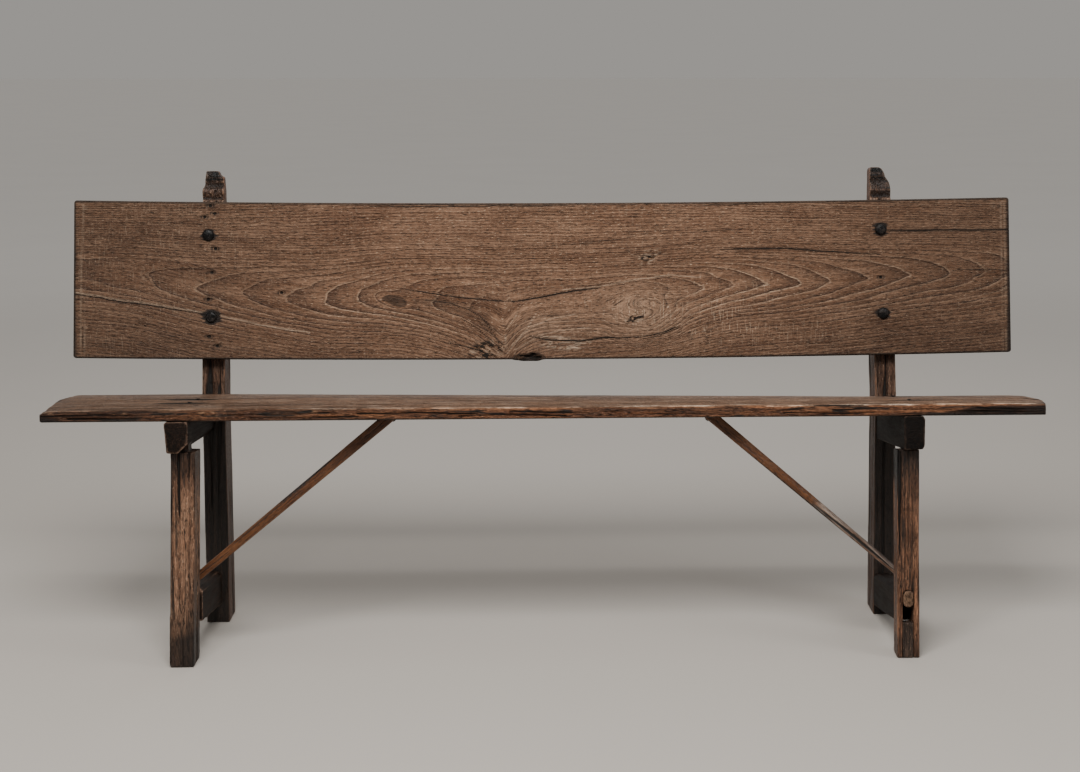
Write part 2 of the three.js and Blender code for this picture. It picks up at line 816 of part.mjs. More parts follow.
function frontLeg(end) {
  const pegs = pegPlaces(end);
  const leg = legBody(end).add(legTenonSolid(end, 0));
  const bores = [
    pegBore(end, pegs.leg_head),
    pegBore(end, pegs.stretcher_leg),
    nailBore(braceNail, braceFootNailPlace(end)),
  ];
  if (end.hand < 0) return withoutBores(leg, [tenonSolid(end, stubTenon(end), fit), ...bores]);
  const strip = stripSpans(end);
  const slot = solidOf(block(
    grown(strip.across, fit),
    [strip.along[0] - overrun, strip.along[1] + fit],
    [strip.up[0] - overrun, strip.up[1] + fit]));
  return withoutBores(leg, [wornMortiseSolid(end), slot, ...bores]);
}

function legStrip(end) {
  const { across, along, up } = stripSpans(end);
  const outline = [
    [along[0], floorAt(along[0]) + footChamfer],
    [along[0] + footChamfer, floorAt(along[0] + footChamfer) + fit],
    [along[1], floorAt(along[1]) + fit],
    [along[1], up[1]],
    [along[0], up[1]],
  ];
  return solidOf(alongX(outline, across));
}

// Seat bearer: a hewn rail with a through tenon at the rear
function bearerBody(end) {
  const line = bearerLine(end);
  const outline = bearerSectionShares[sideName(end)].map(([across, up]) => [
    end.hand * mix(...bearerSpan(end), across), line.z - end.bearerHeight * (1 - up)]);
  const rail = solidOf(tilted(alongY(outline, [-bearerProud, postFront + overrun]), line));
  const past = block(
    acrossOf(end, grown(bearerSpan(end), overrun)),
    [postFront - fit, postFront + 3 * overrun],
    [line.z - end.bearerHeight - overrun, overrun]);
  return rail.subtract(solidOf(past));
}

function seatBearer(end) {
  const pegs = pegPlaces(end);
  const bearer = bearerBody(end).add(tenonSolid(end, bearerTenon(end), 0));
  return withoutBores(bearer, [
    legTenonSolid(end, fit),
    pegBore(end, pegs.leg_head),
    pegBore(end, pegs.bearer_post),
    ...seatNailPlaces(end).map((place) => nailBore(seatNail, place)),
  ]);
}

// Side stretcher: a deep rail between leg and post
function stretcherBody(end) {
  const line = stretcherLine(end);
  const [inner, outer] = stretcherSpan(end);
  const top = line.z;
  const bottom = line.z - line.height;
  const worn = end.stretcherWidth * stretcherWornShare;
  const outline = [
    [inner, bottom], [outer, bottom], [outer, top - worn / 2],
    [outer - worn / 2, top], [inner + worn, top], [inner, top - worn],
  ].map(([across, z]) => [end.hand * across, z]);
  const legBack = legSetback + end.legDepth;
  const rail = solidOf(tilted(alongY(outline, [legSetback, postFront + overrun]), line));
  const room = block(
    acrossOf(end, grown([inner, outer], overrun)),
    [legBack + fit, postFront - fit],
    [floorAt(postFront), 0]);
  return rail.intersect(solidOf(room));
}

function sideStretcher(end) {
  const pegs = pegPlaces(end);
  const front = end.hand < 0 ? tenonSolid(end, stubTenon(end), 0) : wornTenonSolid(end);
  const rail = stretcherBody(end).add(front).add(tenonSolid(end, stretcherTenon(end), 0));
  return withoutBores(rail, [pegBore(end, pegs.stretcher_post), pegBore(end, pegs.stretcher_leg)]);
}

// Brace: a tapered batten from the back of the leg's foot to the seat's underside
function brace(end) {
  const { foot, head, upperFoot, upperHead } = braceEdges(end);
  const past = -overrun / foot.distanceTo(head);
  const beyond = 1 - past / 4;
  const outline = [
    onLine(foot, head, past), onLine(foot, head, beyond),
    onLine(upperFoot, upperHead, beyond), onLine(upperFoot, upperHead, past),
  ].map((p) => [end.hand * p.x, p.y]);
  const front = legSetback + end.legDepth + fit;
  const batten = solidOf(alongY(outline, [front, front + end.braceDepth]));
  const footEnd = stretcherSpan(end)[1] - braceFootInset;
  const outside = block(
    acrossOf(end, [footEnd, footEnd + 3 * overrun]),
    [front - overrun, front + end.braceDepth + overrun],
    [floorAt(front), 0]);
  const seat = seatBody().translate(0, 0, -fit);
  const rail = stretcherBody(end).translate(0, 0, fit);
  const cut = batten.subtract(solidOf(outside)).subtract(seat).subtract(rail);
  const bored = withoutBores(cut, [
    nailBore(braceNail, braceFootNailPlace(end)),
    nailBore(braceNail, braceHeadNailPlace(end)),
  ]);
  return end.hand < 0 ? bored : bored.subtract(hewnFace(end));
}

// The right brace is hewn off along its upper front arris towards the foot.
function hewnFace(end) {
  const { foot, head, upperFoot, upperHead, square } = braceEdges(end);
  const front = legSetback + end.legDepth + fit;
  const low = foot.clone().addScaledVector(square, end.braceFootWidth * hewnFootShare);
  const ends = onLine(upperFoot, upperHead, hewnRunShare);
  const back = front + end.braceDepth;
  const size = foot.distanceTo(head) * 2;
  return solidOf(blockAbove(
    new THREE.Vector3(end.hand * low.x, front, low.y),
    new THREE.Vector3(end.hand * ends.x, front, ends.y),
    new THREE.Vector3(end.hand * upperFoot.x, back, upperFoot.y),
    size));
}

// Materials
function wood(color) {
  return new THREE.MeshStandardMaterial({ color, roughness: 0.72, metalness: 0, flatShading: true });
}

function iron() {
  return new THREE.MeshStandardMaterial(
    { color: ironBlack, roughness: 0.6, metalness: 0.7, flatShading: true });
}

// The bench as a scene
const bench = new THREE.Group();
const frame = new THREE.Group();
frame.rotation.x = -lean;
frame.position.z = seatHeight;
bench.add(frame);

function addMesh(name, geometry, material) {
  geometry.computeVertexNormals();
  const mesh = new THREE.Mesh(geometry, material);
  mesh.name = name;
  frame.add(mesh);
  return mesh;
}

// A timber turns about its own middle.
function addTimber(name, solid, color) {
  const geometry = geometryOf(solid);
  geometry.computeBoundingBox();
  const middle = geometry.boundingBox.getCenter(new THREE.Vector3());
  geometry.translate(-middle.x, -middle.y, -middle.z);
  addMesh(name, geometry, wood(color)).position.copy(middle);
}

function addDriven(name, geometry, place, material) {
  const mesh = addMesh(name, geometryOf(solidOf(geometry)), material);
  driven(place).decompose(mesh.position, mesh.quaternion, mesh.scale);
}

function addNail(name, nail, place) {
  addDriven(name, nailGeometry(nail, place.length), place, iron());
}

addTimber('seat_plank', seatPlank(), seatBrown);
addTimber('back_plank', backPlank(), plankBrown);

[leftEnd, rightEnd].forEach((end) => {
  const side = sideName(end);
  addTimber(`rear_post_${side}`, rearPost(end), postBrown);
  addTimber(`front_leg_${side}`, frontLeg(end), postBrown);
  addTimber(`seat_bearer_${side}`, seatBearer(end), darkBrown);
  addTimber(`side_stretcher_${side}`, sideStretcher(end), darkBrown);
  addTimber(`brace_${side}`, brace(end), braceBrown);

  const [backLower, backUpper] = backNailPlaces(end);
  const [seatFront, seatRear] = seatNailPlaces(end);
  addNail(`back_nail_${side}_lower`, backNail, backLower);
  addNail(`back_nail_${side}_upper`, backNail, backUpper);
  addNail(`seat_nail_${side}_front`, seatNail, seatFront);
  addNail(`seat_nail_${side}_rear`, seatNail, seatRear);
  addNail(`brace_foot_nail_${side}`, braceNail, braceFootNailPlace(end));
  addNail(`brace_head_nail_${side}`, braceNail, braceHeadNailPlace(end));

  Object.entries(pegPlaces(end)).forEach(([joint, peg]) => {
    addDriven(`peg_${joint}_${side}`, pegGeometry(peg), pegPlace(end, peg), wood(pegBrown));
  });
});

addTimber('leg_repair_strip_right', legStrip(rightEnd), stripGrey);

// The origin is on the floor, under the middle of the bench.
const bounds = new THREE.Box3().setFromObject(bench, true);
const centre = bounds.getCenter(new THREE.Vector3());
bench.position.set(-centre.x, -centre.y, -bounds.min.z);

export default bench;
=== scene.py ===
import math

import bmesh
import bpy
import numpy as np
from mathutils import Matrix, Vector


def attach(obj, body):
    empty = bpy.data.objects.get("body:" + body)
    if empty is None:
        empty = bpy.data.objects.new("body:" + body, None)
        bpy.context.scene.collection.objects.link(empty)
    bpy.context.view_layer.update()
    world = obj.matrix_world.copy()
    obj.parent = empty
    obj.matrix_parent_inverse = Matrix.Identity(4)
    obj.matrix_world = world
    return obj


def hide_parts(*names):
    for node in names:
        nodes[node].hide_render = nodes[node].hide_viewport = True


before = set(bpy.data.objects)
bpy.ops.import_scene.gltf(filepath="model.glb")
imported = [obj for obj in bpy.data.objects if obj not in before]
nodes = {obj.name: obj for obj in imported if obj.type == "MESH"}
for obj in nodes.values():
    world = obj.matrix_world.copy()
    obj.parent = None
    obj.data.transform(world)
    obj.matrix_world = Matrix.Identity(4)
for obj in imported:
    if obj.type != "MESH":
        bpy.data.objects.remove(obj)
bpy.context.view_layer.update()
print("frame loaded:", len(nodes), "nodes")

# The bench leans back. Most work is done in its own leaned axes, in millimetres:
# x to the right, y back along the seat, z up the posts, from the seat's front edge.
bench = {"lean": 6.0, "origin": (-0.0115, -0.1692756, 0.46)}
perMetre = 1000
leanTurn = Matrix.Rotation(math.radians(-bench["lean"]), 4, "X")
benchToWorld = Matrix.Translation(bench["origin"]) @ leanTurn @ Matrix.Scale(1 / perMetre, 4)
worldToBench = benchToWorld.inverted()


def moved(points, matrix):
    m = np.array(matrix)
    return points @ m[:3, :3].T + m[:3, 3]


# Numbers that vary smoothly over space

def latticeValue(i, j, k, seed):  # 0 to 1, the same for the same corner and seed
    h = (i * 374761393 + j * 668265263 + k * 1440662683 + seed * 974634777) & 0xFFFFFFFF
    h = ((h ^ (h >> 13)) * 1274126177) & 0xFFFFFFFF
    return ((h ^ (h >> 16)) & 0xFFFFFF) / 0xFFFFFF


def smoothNoise(p, seed):  # -1 to 1
    cell = np.floor(p).astype(np.int64)
    f = p - cell
    f = f * f * (3 - 2 * f)
    total = np.zeros(len(p))
    for di in (0, 1):
        for dj in (0, 1):
            for dk in (0, 1):
                weight = (
                    (f[:, 0] if di else 1 - f[:, 0])
                    * (f[:, 1] if dj else 1 - f[:, 1])
                    * (f[:, 2] if dk else 1 - f[:, 2])
                )
                total += weight * latticeValue(cell[:, 0] + di, cell[:, 1] + dj, cell[:, 2] + dk, seed)
    return total * 2 - 1


def uneven(p, size, seed, layers=3):  # -1 to 1, over the given sizes in millimetres
    scaled = p / np.array(size, float)
    total, amount = np.zeros(len(p)), 1.0
    for layer in range(layers):
        total += amount * smoothNoise(scaled * 2 ** layer + 17.3 * layer, seed + layer)
        amount *= 0.5
    return total / (2 - 2 * 0.5 ** layers)


def ramp(a, b, v):  # 0 at a, 1 at b, eased at both ends
    t = np.clip((v - a) / (b - a), 0, 1)
    return t * t * (3 - 2 * t)


def through(table, x, step=3.0, soft=8, reach=20, margin=90):  # a smooth curve through given points
    places, values = zip(*table)
    fine = np.arange(places[0] - margin, places[-1] + margin + 1, step)
    bell = np.exp(-0.5 * (np.arange(-reach, reach + 1) / soft) ** 2)
    padded = np.pad(np.interp(fine, places, values), reach, mode="edge")
    return np.interp(x, fine, np.convolve(padded, bell / bell.sum(), "valid"))


def nearLine(x, z, line):  # distance to a drawn line, and how far along it
    best, along = np.full(len(x), 1e9), np.zeros(len(x))
    lengths = [math.dist(a, b) for a, b in zip(line, line[1:])]
    whole, done = sum(lengths), 0
    for (a, b), length in zip(zip(line, line[1:]), lengths):
        run = np.array(b) - np.array(a)
        t = np.clip(((x - a[0]) * run[0] + (z - a[1]) * run[1]) / length ** 2, 0, 1)
        d = np.hypot(x - a[0] - t * run[0], z - a[1] - t * run[1])
        closer = d < best
        best[closer] = d[closer]
        along[closer] = (done + t[closer] * length) / whole
        done += length
    return best, along


def away(x, z, place, size=(1, 1)):  # distance from a spot, counted in its sizes
    return np.hypot((x - place[0]) / size[0], (z - place[1]) / size[1])


def spot(x, z, place, size):  # 1 in its middle, fading out
    return np.exp(-away(x, z, place, size) ** 2)


def blank(points, *names):
    return {name: np.zeros(len(points)) for name in names}


def atLeast(layers, **values):  # keeps the stronger of what is there and what is added
    for name, value in values.items():
        layers[name] = np.maximum(layers[name], value)


# Meshes

def newMesh(name, points, faces):
    mesh = bpy.data.meshes.new(name)
    mesh.from_pydata(points.tolist(), [], faces)
    mesh.update()
    return mesh


def addPiece(name, mesh, slotName, *replaced):
    piece = bpy.data.objects.new(name, mesh)
    bpy.context.scene.collection.objects.link(piece)
    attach(piece, "root")
    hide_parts(*replaced)


def meshValues(mesh, field):  # "co" or "normal" of each vertex
    flat = np.zeros(len(mesh.vertices) * 3, np.float32)
    mesh.vertices.foreach_get(field, flat)
    return flat.reshape(-1, 3).astype(float)


def setVertices(mesh, points):
    mesh.vertices.foreach_set("co", points.astype(np.float32).ravel())
    mesh.update()


def edgesOf(mesh):
    ends = np.zeros(len(mesh.edges) * 2, np.int64)
    mesh.edges.foreach_get("vertices", ends)
    return ends[0::2], ends[1::2]


def overEdges(a, b, size, towardsA=None, towardsB=None):  # each vertex's sum over its edges
    return np.bincount(a, towardsA, size) + np.bincount(b, towardsB, size)


def relaxed(mesh, points, rounds):
    a, b = edgesOf(mesh)
    size = len(points)
    neighbours = overEdges(a, b, size)
    smooth = points.copy()
    for _ in range(rounds):
        total = np.stack([overEdges(a, b, size, values[b], values[a]) for values in smooth.T], 1)
        smooth = 0.5 * smooth + 0.5 * total / neighbours[:, None]
    return smooth


def edgeSharpness(mesh, rounds):  # above 0 on arrises, below 0 in hollows
    points = meshValues(mesh, "co")
    return ((points - relaxed(mesh, points, rounds)) * meshValues(mesh, "normal")).sum(1)


def steepness(mesh, rings):  # rings per millimetre over the surface
    a, b = edgesOf(mesh)
    size = len(rings)
    points = meshValues(mesh, "co")
    lengths = np.linalg.norm(points[a] - points[b], axis=1) * perMetre + 0.02
    slope = ((rings[a] - rings[b]) / lengths) ** 2
    total = overEdges(a, b, size, slope, slope)
    return np.sqrt(2 * total / np.maximum(overEdges(a, b, size), 1))


def paint(mesh, **layers):
    for name, values in layers.items():
        kind, field = ("FLOAT_VECTOR", "vector") if values.ndim == 2 else ("FLOAT", "value")
        data = mesh.attributes.new(name, kind, "POINT").data
        data.foreach_set(field, values.astype(np.float32).ravel())
    mesh.polygons.foreach_set("use_smooth", np.ones(len(mesh.polygons), bool))
    mesh.update()


def dressPiece(name, mesh, slotName, node, finish, **layers):
    mesh.name = name
    addPiece(name, mesh, slotName, node)
    paint(mesh, **layers)
    mesh.materials.clear()
    mesh.materials.append(finish)


def zipped(low, high, place):  # triangles between two rows that run the same way
    faces, i, j = [], 0, 0
    while i < len(low) - 1 or j < len(high) - 1:
        if j == len(high) - 1 or (i < len(low) - 1 and place[low[i + 1]] <= place[high[j + 1]]):
            faces.append((low[i], low[i + 1], high[j]))
            i += 1
        else:
            faces.append((low[i], high[j + 1], high[j]))
            j += 1
    return faces


def skinned(rings, split, place):
    count, size = rings.shape[:2]
    points = rings.reshape(-1, 3)
    index = np.arange(count * size).reshape(count, size)
    a, b = index[:-1], index[1:]
    quads = np.stack([a, np.roll(a, -1, 1), np.roll(b, -1, 1), b], -1).reshape(-1, 4).tolist()
    for ring, outward in ((index[0], False), (index[-1], True)):
        low, high = ring[:split].tolist(), ring[split:][::-1].tolist()
        caps = zipped(low, high, place(points))
        quads += caps if outward else [face[::-1] for face in caps]
    return points, quads


def roundOff(fromEnd, reach, depth):  # how far a rounded corner has drawn in
    return depth * (1 - math.sqrt(1 - (1 - min(1, fromEnd / reach)) ** 2))


def remeshed(node, fineness):  # a fine, even, closed skin over a CAD solid, in bench axes
    bm = bmesh.new()
    bm.from_mesh(nodes[node].data)
    bmesh.ops.remove_doubles(bm, verts=bm.verts, dist=1e-6)
    bm.transform(worldToBench)
    mesh = bpy.data.meshes.new(node + "Skin")
    bm.to_mesh(mesh)
    bm.free()
    carrier = bpy.data.objects.new(node + "Skin", mesh)
    bpy.context.scene.collection.objects.link(carrier)
    remesh = carrier.modifiers.new("even", "REMESH")
    remesh.mode = "VOXEL"
    remesh.voxel_size = fineness
    graph = bpy.context.evaluated_depsgraph_get()
    skin = bpy.data.meshes.new_from_object(carrier.evaluated_get(graph))
    bpy.data.objects.remove(carrier)
    return skin


# Shader writing

class Wire:  # a socket that takes part in sums
    def __init__(self, tree, socket):
        self.tree, self.socket = tree, socket

    def maths(self, operation, first, second):
        node = self.tree.nodes.new("ShaderNodeMath")
        node.operation = operation
        plug(self.tree, node.inputs[0], first)
        plug(self.tree, node.inputs[1], second)
        return Wire(self.tree, node.outputs[0])

    def __add__(self, other):
        return self.maths("ADD", self, other)

    def __sub__(self, other):
        return self.maths("SUBTRACT", self, other)

    def __rsub__(self, other):
        return self.maths("SUBTRACT", other, self)

    def __mul__(self, other):
        return self.maths("MULTIPLY", self, other)

    def __truediv__(self, other):
        return self.maths("DIVIDE", self, other)

    __radd__, __rmul__ = __add__, __mul__


def plug(tree, slot, value):
    if isinstance(value, Wire):
        tree.links.new(value.socket, slot)
    else:
        slot.default_value = value


class Finish:  # the nodes of a material, or of the air
    def __init__(self, owner):
        owner.use_nodes = True
        self.owner, self.tree = owner, owner.node_tree
        self.tree.nodes.clear()

    def node(self, kind, settings=None, sockets=None, out=0):
        node = self.tree.nodes.new(kind)
        for key, value in (settings or {}).items():
            setattr(node, key, value)
        for key, value in (sockets or {}).items():
            plug(self.tree, node.inputs[key], value)
        return Wire(self.tree, node.outputs[out])

    def layer(self, name, out="Fac"):
        return self.node("ShaderNodeAttribute", {"attribute_name": name}, out=out)

    def noise(self, place, density, shift, detail, rough):
        vector = self.node("ShaderNodeVectorMath", {"operation": "MULTIPLY"}, {0: place, 1: density})
        offset = (shift, shift * 0.7, -shift)
        vector = self.node("ShaderNodeVectorMath", {"operation": "ADD"}, {0: vector, 1: offset})
        sockets = {"Vector": vector, "Scale": 1.0, "Detail": detail, "Roughness": rough}
        return self.node("ShaderNodeTexNoise", None, sockets)

    def step(self, value, low, high):
        sockets = {"Value": value, "From Min": low, "From Max": high}
        return self.node("ShaderNodeMapRange", {"interpolation_type": "SMOOTHSTEP"}, sockets)

    def mix(self, share, a, b, how="MIX"):
        node = self.tree.nodes.new("ShaderNodeMix")
        node.data_type = "RGBA"
        node.blend_type = how
        node.clamp_factor = True
        plug(self.tree, node.inputs[0], share)
        for key, value in ((6, a), (7, b)):
            plug(self.tree, node.inputs[key], value if isinstance(value, Wire) else (*value, 1.0))
        return Wire(self.tree, node.outputs[2])

    def output(self, kind, shader):
        end = self.tree.nodes.new(kind)
        self.tree.links.new(shader.socket, end.inputs["Surface"])
        return self.owner

    def close(self, color, rough, height, relief, metal, gloss):
        bump = self.node("ShaderNodeBump", None, {"Strength": 1.0, "Distance": relief, "Height": height})
        shader = self.node("ShaderNodeBsdfPrincipled", None, {
            "Base Color": color, "Roughness": rough, "Metallic": metal, "Specular IOR Level": gloss,
            "Normal": bump})
        return self.output("ShaderNodeOutputMaterial", shader)


woodNoise = {  # spots per metre along and across the grain, shift, detail, roughness
    "cloud": ((3.5, 10, 10), 0, 4.0, 0.6), "patch": ((15, 55, 55), 3, 5.0, 0.65),
    "streak": ((4, 170, 170), 9, 4.0, 0.62), "fibre": ((45, 480, 480), 5, 3.0, 0.7),
    "hair": ((120, 1000, 1000), 15, 2.0, 0.6), "pore": ((90, 640, 640), 11, 2.0, 0.55),
    "fleck": ((160, 560, 560), 27, 2.0, 0.6), "grit": ((900, 900, 900), 2, 2.0, 0.6),
    "broken": ((20, 110, 110), 21, 3.0, 0.6), "across": ((430, 38, 38), 31, 3.0, 0.65),
}


def oldWood(name, look):
    f = Finish(bpy.data.materials.new(name))
    grain = f.layer("grain", "Vector")
    ring, steep, edge, shade, mark, pale, stain, figure, tint, sawn, calm, rim = (f.layer(word) for word in (
        "ring", "steep", "edge", "shade", "mark", "pale", "stain", "figure", "tint", "sawn", "calm", "rim"))

    def pattern(kind, gain=1):
        density, shift, detail, rough = woodNoise[kind]
        return f.noise(grain, [gain * value for value in density], look["seed"] + shift, detail, rough)

    cloud, patch, streak, grit = (pattern(kind) for kind in ("cloud", "patch", "streak", "grit"))
    fibre, hair = (pattern(kind, look["fineness"]) for kind in ("fibre", "hair"))
    pore = f.step(pattern("pore"), 0.55, 0.66)
    fleck = f.step(pattern("fleck"), 0.6, 0.7)
    broken = f.step(pattern("broken"), 0.34, 0.62)
    across = f.step(pattern("across"), 0.54, 0.68)

    # the growth rings: a dark line where each ends, and a pale rim beyond it
    bent = ring + (fibre - 0.5) * 0.035 + (patch - 0.5) * 0.07
    phase = f.node("ShaderNodeMath", {"operation": "FRACT"}, {0: bent})
    number = f.node("ShaderNodeMath", {"operation": "FLOOR"}, {0: bent})
    each = f.node("ShaderNodeTexWhiteNoise", {"noise_dimensions": "1D"}, {"W": number})
    other = f.node("ShaderNodeTexWhiteNoise", {"noise_dimensions": "1D"}, {"W": number + 57.3})
    inside, outside = (1 - phase) / (steep + 0.012), phase / (steep + 0.012)  # millimetres to the line
    drawn = look["lines"] * (1 - calm)
    band = (1 - f.step(inside, 0.2, look["band"])) * (0.3 + 0.7 * each) * (0.45 + 0.55 * broken) * drawn
    late = f.step(phase, 0.35, 1.0) * (0.1 + 0.6 * figure) * drawn
    glow = f.step(outside, 0.0, 0.5) * (1 - f.step(outside, 1.2, 2.8)) * (1 - f.step(phase, 0.3, 0.5))
    glow = glow * (0.35 + 0.65 * other) * (0.5 + 0.5 * broken) * (1 - calm)

    color = f.mix(f.step(cloud, 0.3, 0.7), look["deep"], look["mid"])
    # arrises take the worn colour: real wear, and on the dark rails a painted highlight along their edges
    rubbed = f.step(edge + (patch - 0.5) * 0.8, 0.2, 0.9) * look["rubbed"]
    for share, over in (
        (f.step(patch * 0.5 + streak * 0.5, 0.37, 0.69), "light"), (late, "line"), (band, "line"),
        (glow * (rim + look["glow"]), "glowing"), (fleck * look["flecks"], "dust"), (pale, "dust"),
        (across * sawn, "dust"), (rubbed, "worn"),
    ):
        color = f.mix(share, color, look[over])
    color = f.mix(tint, color, look["tint"], "MULTIPLY")
    tone = 1 + (fibre - 0.5) * look["fibre"] + (hair - 0.5) * look["hair"] + (streak - 0.5) * look["streak"]
    # the shade layer darkens the colour: painted shade, and dark marks such as the eye
    tone = (tone - pore * look["pores"]) * (1 - shade)
    color = f.node("ShaderNodeVectorMath", {"operation": "SCALE"}, {0: color, "Scale": tone})
    color = f.mix(f.step(edge * -1, 0.08, 0.6) * 0.7, color, look["dirt"])
    soaked = f.step(stain + (patch - 0.5) * 0.9 + (fibre - 0.5) * 0.3, 0.25, 1.0)
    color = f.mix(soaked, color, look["stain"])
    color = f.mix(f.step(mark + (grit - 0.5) * 0.25, 0.25, 0.75), color, look["dirt"])

    rough = look["rough"] + (fibre - 0.5) * 0.25 + (patch - 0.5) * 0.3 - rubbed * 0.15 + mark * 0.2
    height = fibre * 0.7 + hair * 0.3 + streak * 0.5 - band * 0.5 - pore * 0.5 - mark * 1.5
    height = height + patch * 0.6 + grit * 0.1 + glow * rim + across * sawn * 0.3
    return f.close(color, rough, height, look["relief"], 0.0, look["gloss"])


def oldIron(name, look):
    f = Finish(bpy.data.materials.new(name))
    place = f.node("ShaderNodeTexCoord", out="Object")
    lump = f.noise(place, (120, 120, 120), look["seed"], 4.0, 0.6)
    pit = f.noise(place, (520, 520, 520), look["seed"] + 4, 3.0, 0.65)
    rust = f.step(lump * 0.6 + pit * 0.4, 0.45, 0.66)
    color = f.mix(rust, look["dark"], look["rust"])
    color = f.mix(f.step(pit, 0.55, 0.8) * 0.5, color, look["rubbed"])
    return f.close(color, 0.42 + 0.4 * rust, lump + pit * 0.6, look["relief"], 0.75 - 0.6 * rust, 0.5)


# Camera, floor and light

view = {
    "place": (-0.0095, -3.5972756, 1.104), "pitch": 7.479, "yaw": 2.4, "lens": 65.0, "sensor": 36.0,
    "shift": (-0.0787, -0.0796),
}
cameraData = bpy.data.cameras.new("photoView")
cameraData.sensor_width = view["sensor"]
cameraData.lens = view["lens"]
cameraData.shift_x, cameraData.shift_y = view["shift"]
camera = bpy.data.objects.new("photoView", cameraData)
camera.location = view["place"]
camera.rotation_euler = (math.radians(90 - view["pitch"]), 0, math.radians(-view["yaw"]))
bpy.context.scene.collection.objects.link(camera)
bpy.context.scene.camera = camera

studio = {
    "floorReach": 60.0, "floorNear": (0.5, 0.465, 0.425), "floorFar": (0.8, 0.775, 0.74),
    "floorCloud": (0.3, 0.27, 0.24), "floorFade": (0.6, 6.5),
    "airLow": (0.2, 0.187, 0.17), "airBehind": (0.345, 0.33, 0.31), "airHigh": (0.5, 0.49, 0.475),
    "panels": {  # place, what it faces, size, watts and colour
        "keyPanel": ((-0.35, -2.0, 2.7), (0.0, 0.1, 0.6), (1.8, 1.0), 105, (1.0, 0.975, 0.94)),
        "sidePanel": ((2.7, -1.3, 1.9), (0.5, 0.0, 0.4), (0.9, 1.4), 14, (0.95, 0.98, 1.0)),
        "backPanel": ((0.0, 2.6, 2.4), (0.0, 0.1, 0.6), (3.0, 1.2), 18, (0.97, 0.98, 1.0)),
    },
}


def addFloor():
    r = studio["floorReach"]
    mesh = newMesh("studioFloor", np.array([(-r, -r, 0), (r, -r, 0), (r, r, 0), (-r, r, 0)]), [(0, 1, 2, 3)])
    floor = bpy.data.objects.new("studioFloor", mesh)
    bpy.context.scene.collection.objects.link(floor)
    f = Finish(bpy.data.materials.new("plainFloor"))
    place = f.node("ShaderNodeTexCoord", out="Object")
    cloud = f.noise(place, (1.3, 1.3, 1.3), 0.0, 3.0, 0.5)
    behind = f.node("ShaderNodeSeparateXYZ", None, {0: place}, 1)
    # painted light: the floor is painted paler far behind the bench, in place of a lamp lighting the far
    # floor
    color = f.mix(f.step(behind, *studio["floorFade"]), studio["floorNear"], studio["floorFar"])
    color = f.mix(cloud * 0.08, color, studio["floorCloud"])
    mesh.materials.append(f.close(color, 0.85, cloud, 0.0001, 0.0, 0.2))


def addPanel(name, place, target, size, power, color):
    data = bpy.data.lights.new(name, "AREA")
    data.shape = "RECTANGLE"
    data.size, data.size_y = size
    data.energy = power
    data.color = color
    panel = bpy.data.objects.new(name, data)
    panel.location = place
    panel.rotation_euler = (Vector(target) - Vector(place)).to_track_quat("-Z", "Y").to_euler()
    bpy.context.scene.collection.objects.link(panel)


def addAir():  # soft light from above that fades to the floor's tone low down
    air = bpy.data.worlds.new("studioAir")
    f = Finish(air)
    place = f.node("ShaderNodeTexCoord")
    height = f.node("ShaderNodeSeparateXYZ", None, {0: place}, 2)
    behind = f.node("ShaderNodeSeparateXYZ", None, {0: place}, 1)
    low = f.mix(f.step(behind, 0.2, 0.8), studio["airLow"], studio["airBehind"])
    glow = f.mix(f.step(height, 0.05, 0.9), low, studio["airHigh"])
    back = f.node("ShaderNodeBackground", None, {"Color": glow, "Strength": 1.0})
    bpy.context.scene.world = f.output("ShaderNodeOutputWorld", back)


addFloor()
addAir()
for panelName, panel in studio["panels"].items():
    addPanel(panelName, *panel)
print("camera, floor and lights made")


# Back plank

backLook = {
    "seed": 4.0, "fineness": 1.15, "deep": (0.092, 0.041, 0.019), "mid": (0.154, 0.076, 0.04),
    "light": (0.24, 0.137, 0.083), "line": (0.035, 0.014, 0.007), "dust": (0.5, 0.37, 0.265),
    "worn": (0.34, 0.22, 0.145), "dirt": (0.008, 0.005, 0.003), "stain": (0.011, 0.007, 0.005),
    "glowing": (0.5, 0.36, 0.25), "tint": (1.0, 0.85, 0.72), "lines": 0.95, "band": 3.2, "glow": 0.12,
    "flecks": 0.5, "fibre": 1.8, "hair": 1.8, "streak": 0.3,
    "pores": 0.5, "rubbed": 0.4, "rough": 0.6, "gloss": 0.25, "relief": 0.001,
}
backPlank = {
    "left": -887, "right": 901, "endSlant": 5, "bottom": 80, "height": 300, "sag": 8, "front": 264.0,
    "thickness": 24.9, "corner": 4, "along": 3.4, "up": 1.3, "upBehind": 6.0,
    # the line that the growth rings bend about, and how deep below the face it lies
    "axis": [(-890, 248), (-763, 238), (-650, 212), (-565, 201), (-488, 191), (-410, 184), (-345, 188),
             (-282, 192), (-170, 184), (-65, 178), (60, 176), (196, 184), (300, 203), (356, 213), (410, 214),
             (480, 216), (551, 218), (628, 224), (703, 231), (791, 234), (869, 239), (905, 240)],
    "depth": [(-890, 83.5), (-763, 80), (-650, 75), (-565, 70), (-488, 65), (-410, 60), (-345, 55),
              (-290, 50), (-200, 44), (-65, 35), (60, 36), (196, 38), (300, 45), (356, 50), (418, 55),
              (490, 60), (551, 65), (628, 70), (703, 75), (788, 80), (869, 85), (905, 90)],
    "fold": (-74, 95, 48), "foldDepth": [(60, 60), (100, 52), (150, 34), (190, 14), (225, 3), (380, 0)],
    "straight": (205, 375), "swirl": (190, 168), "swirlWide": 1.75, "eye": (-284, 187), "spacing": 5.0,
}


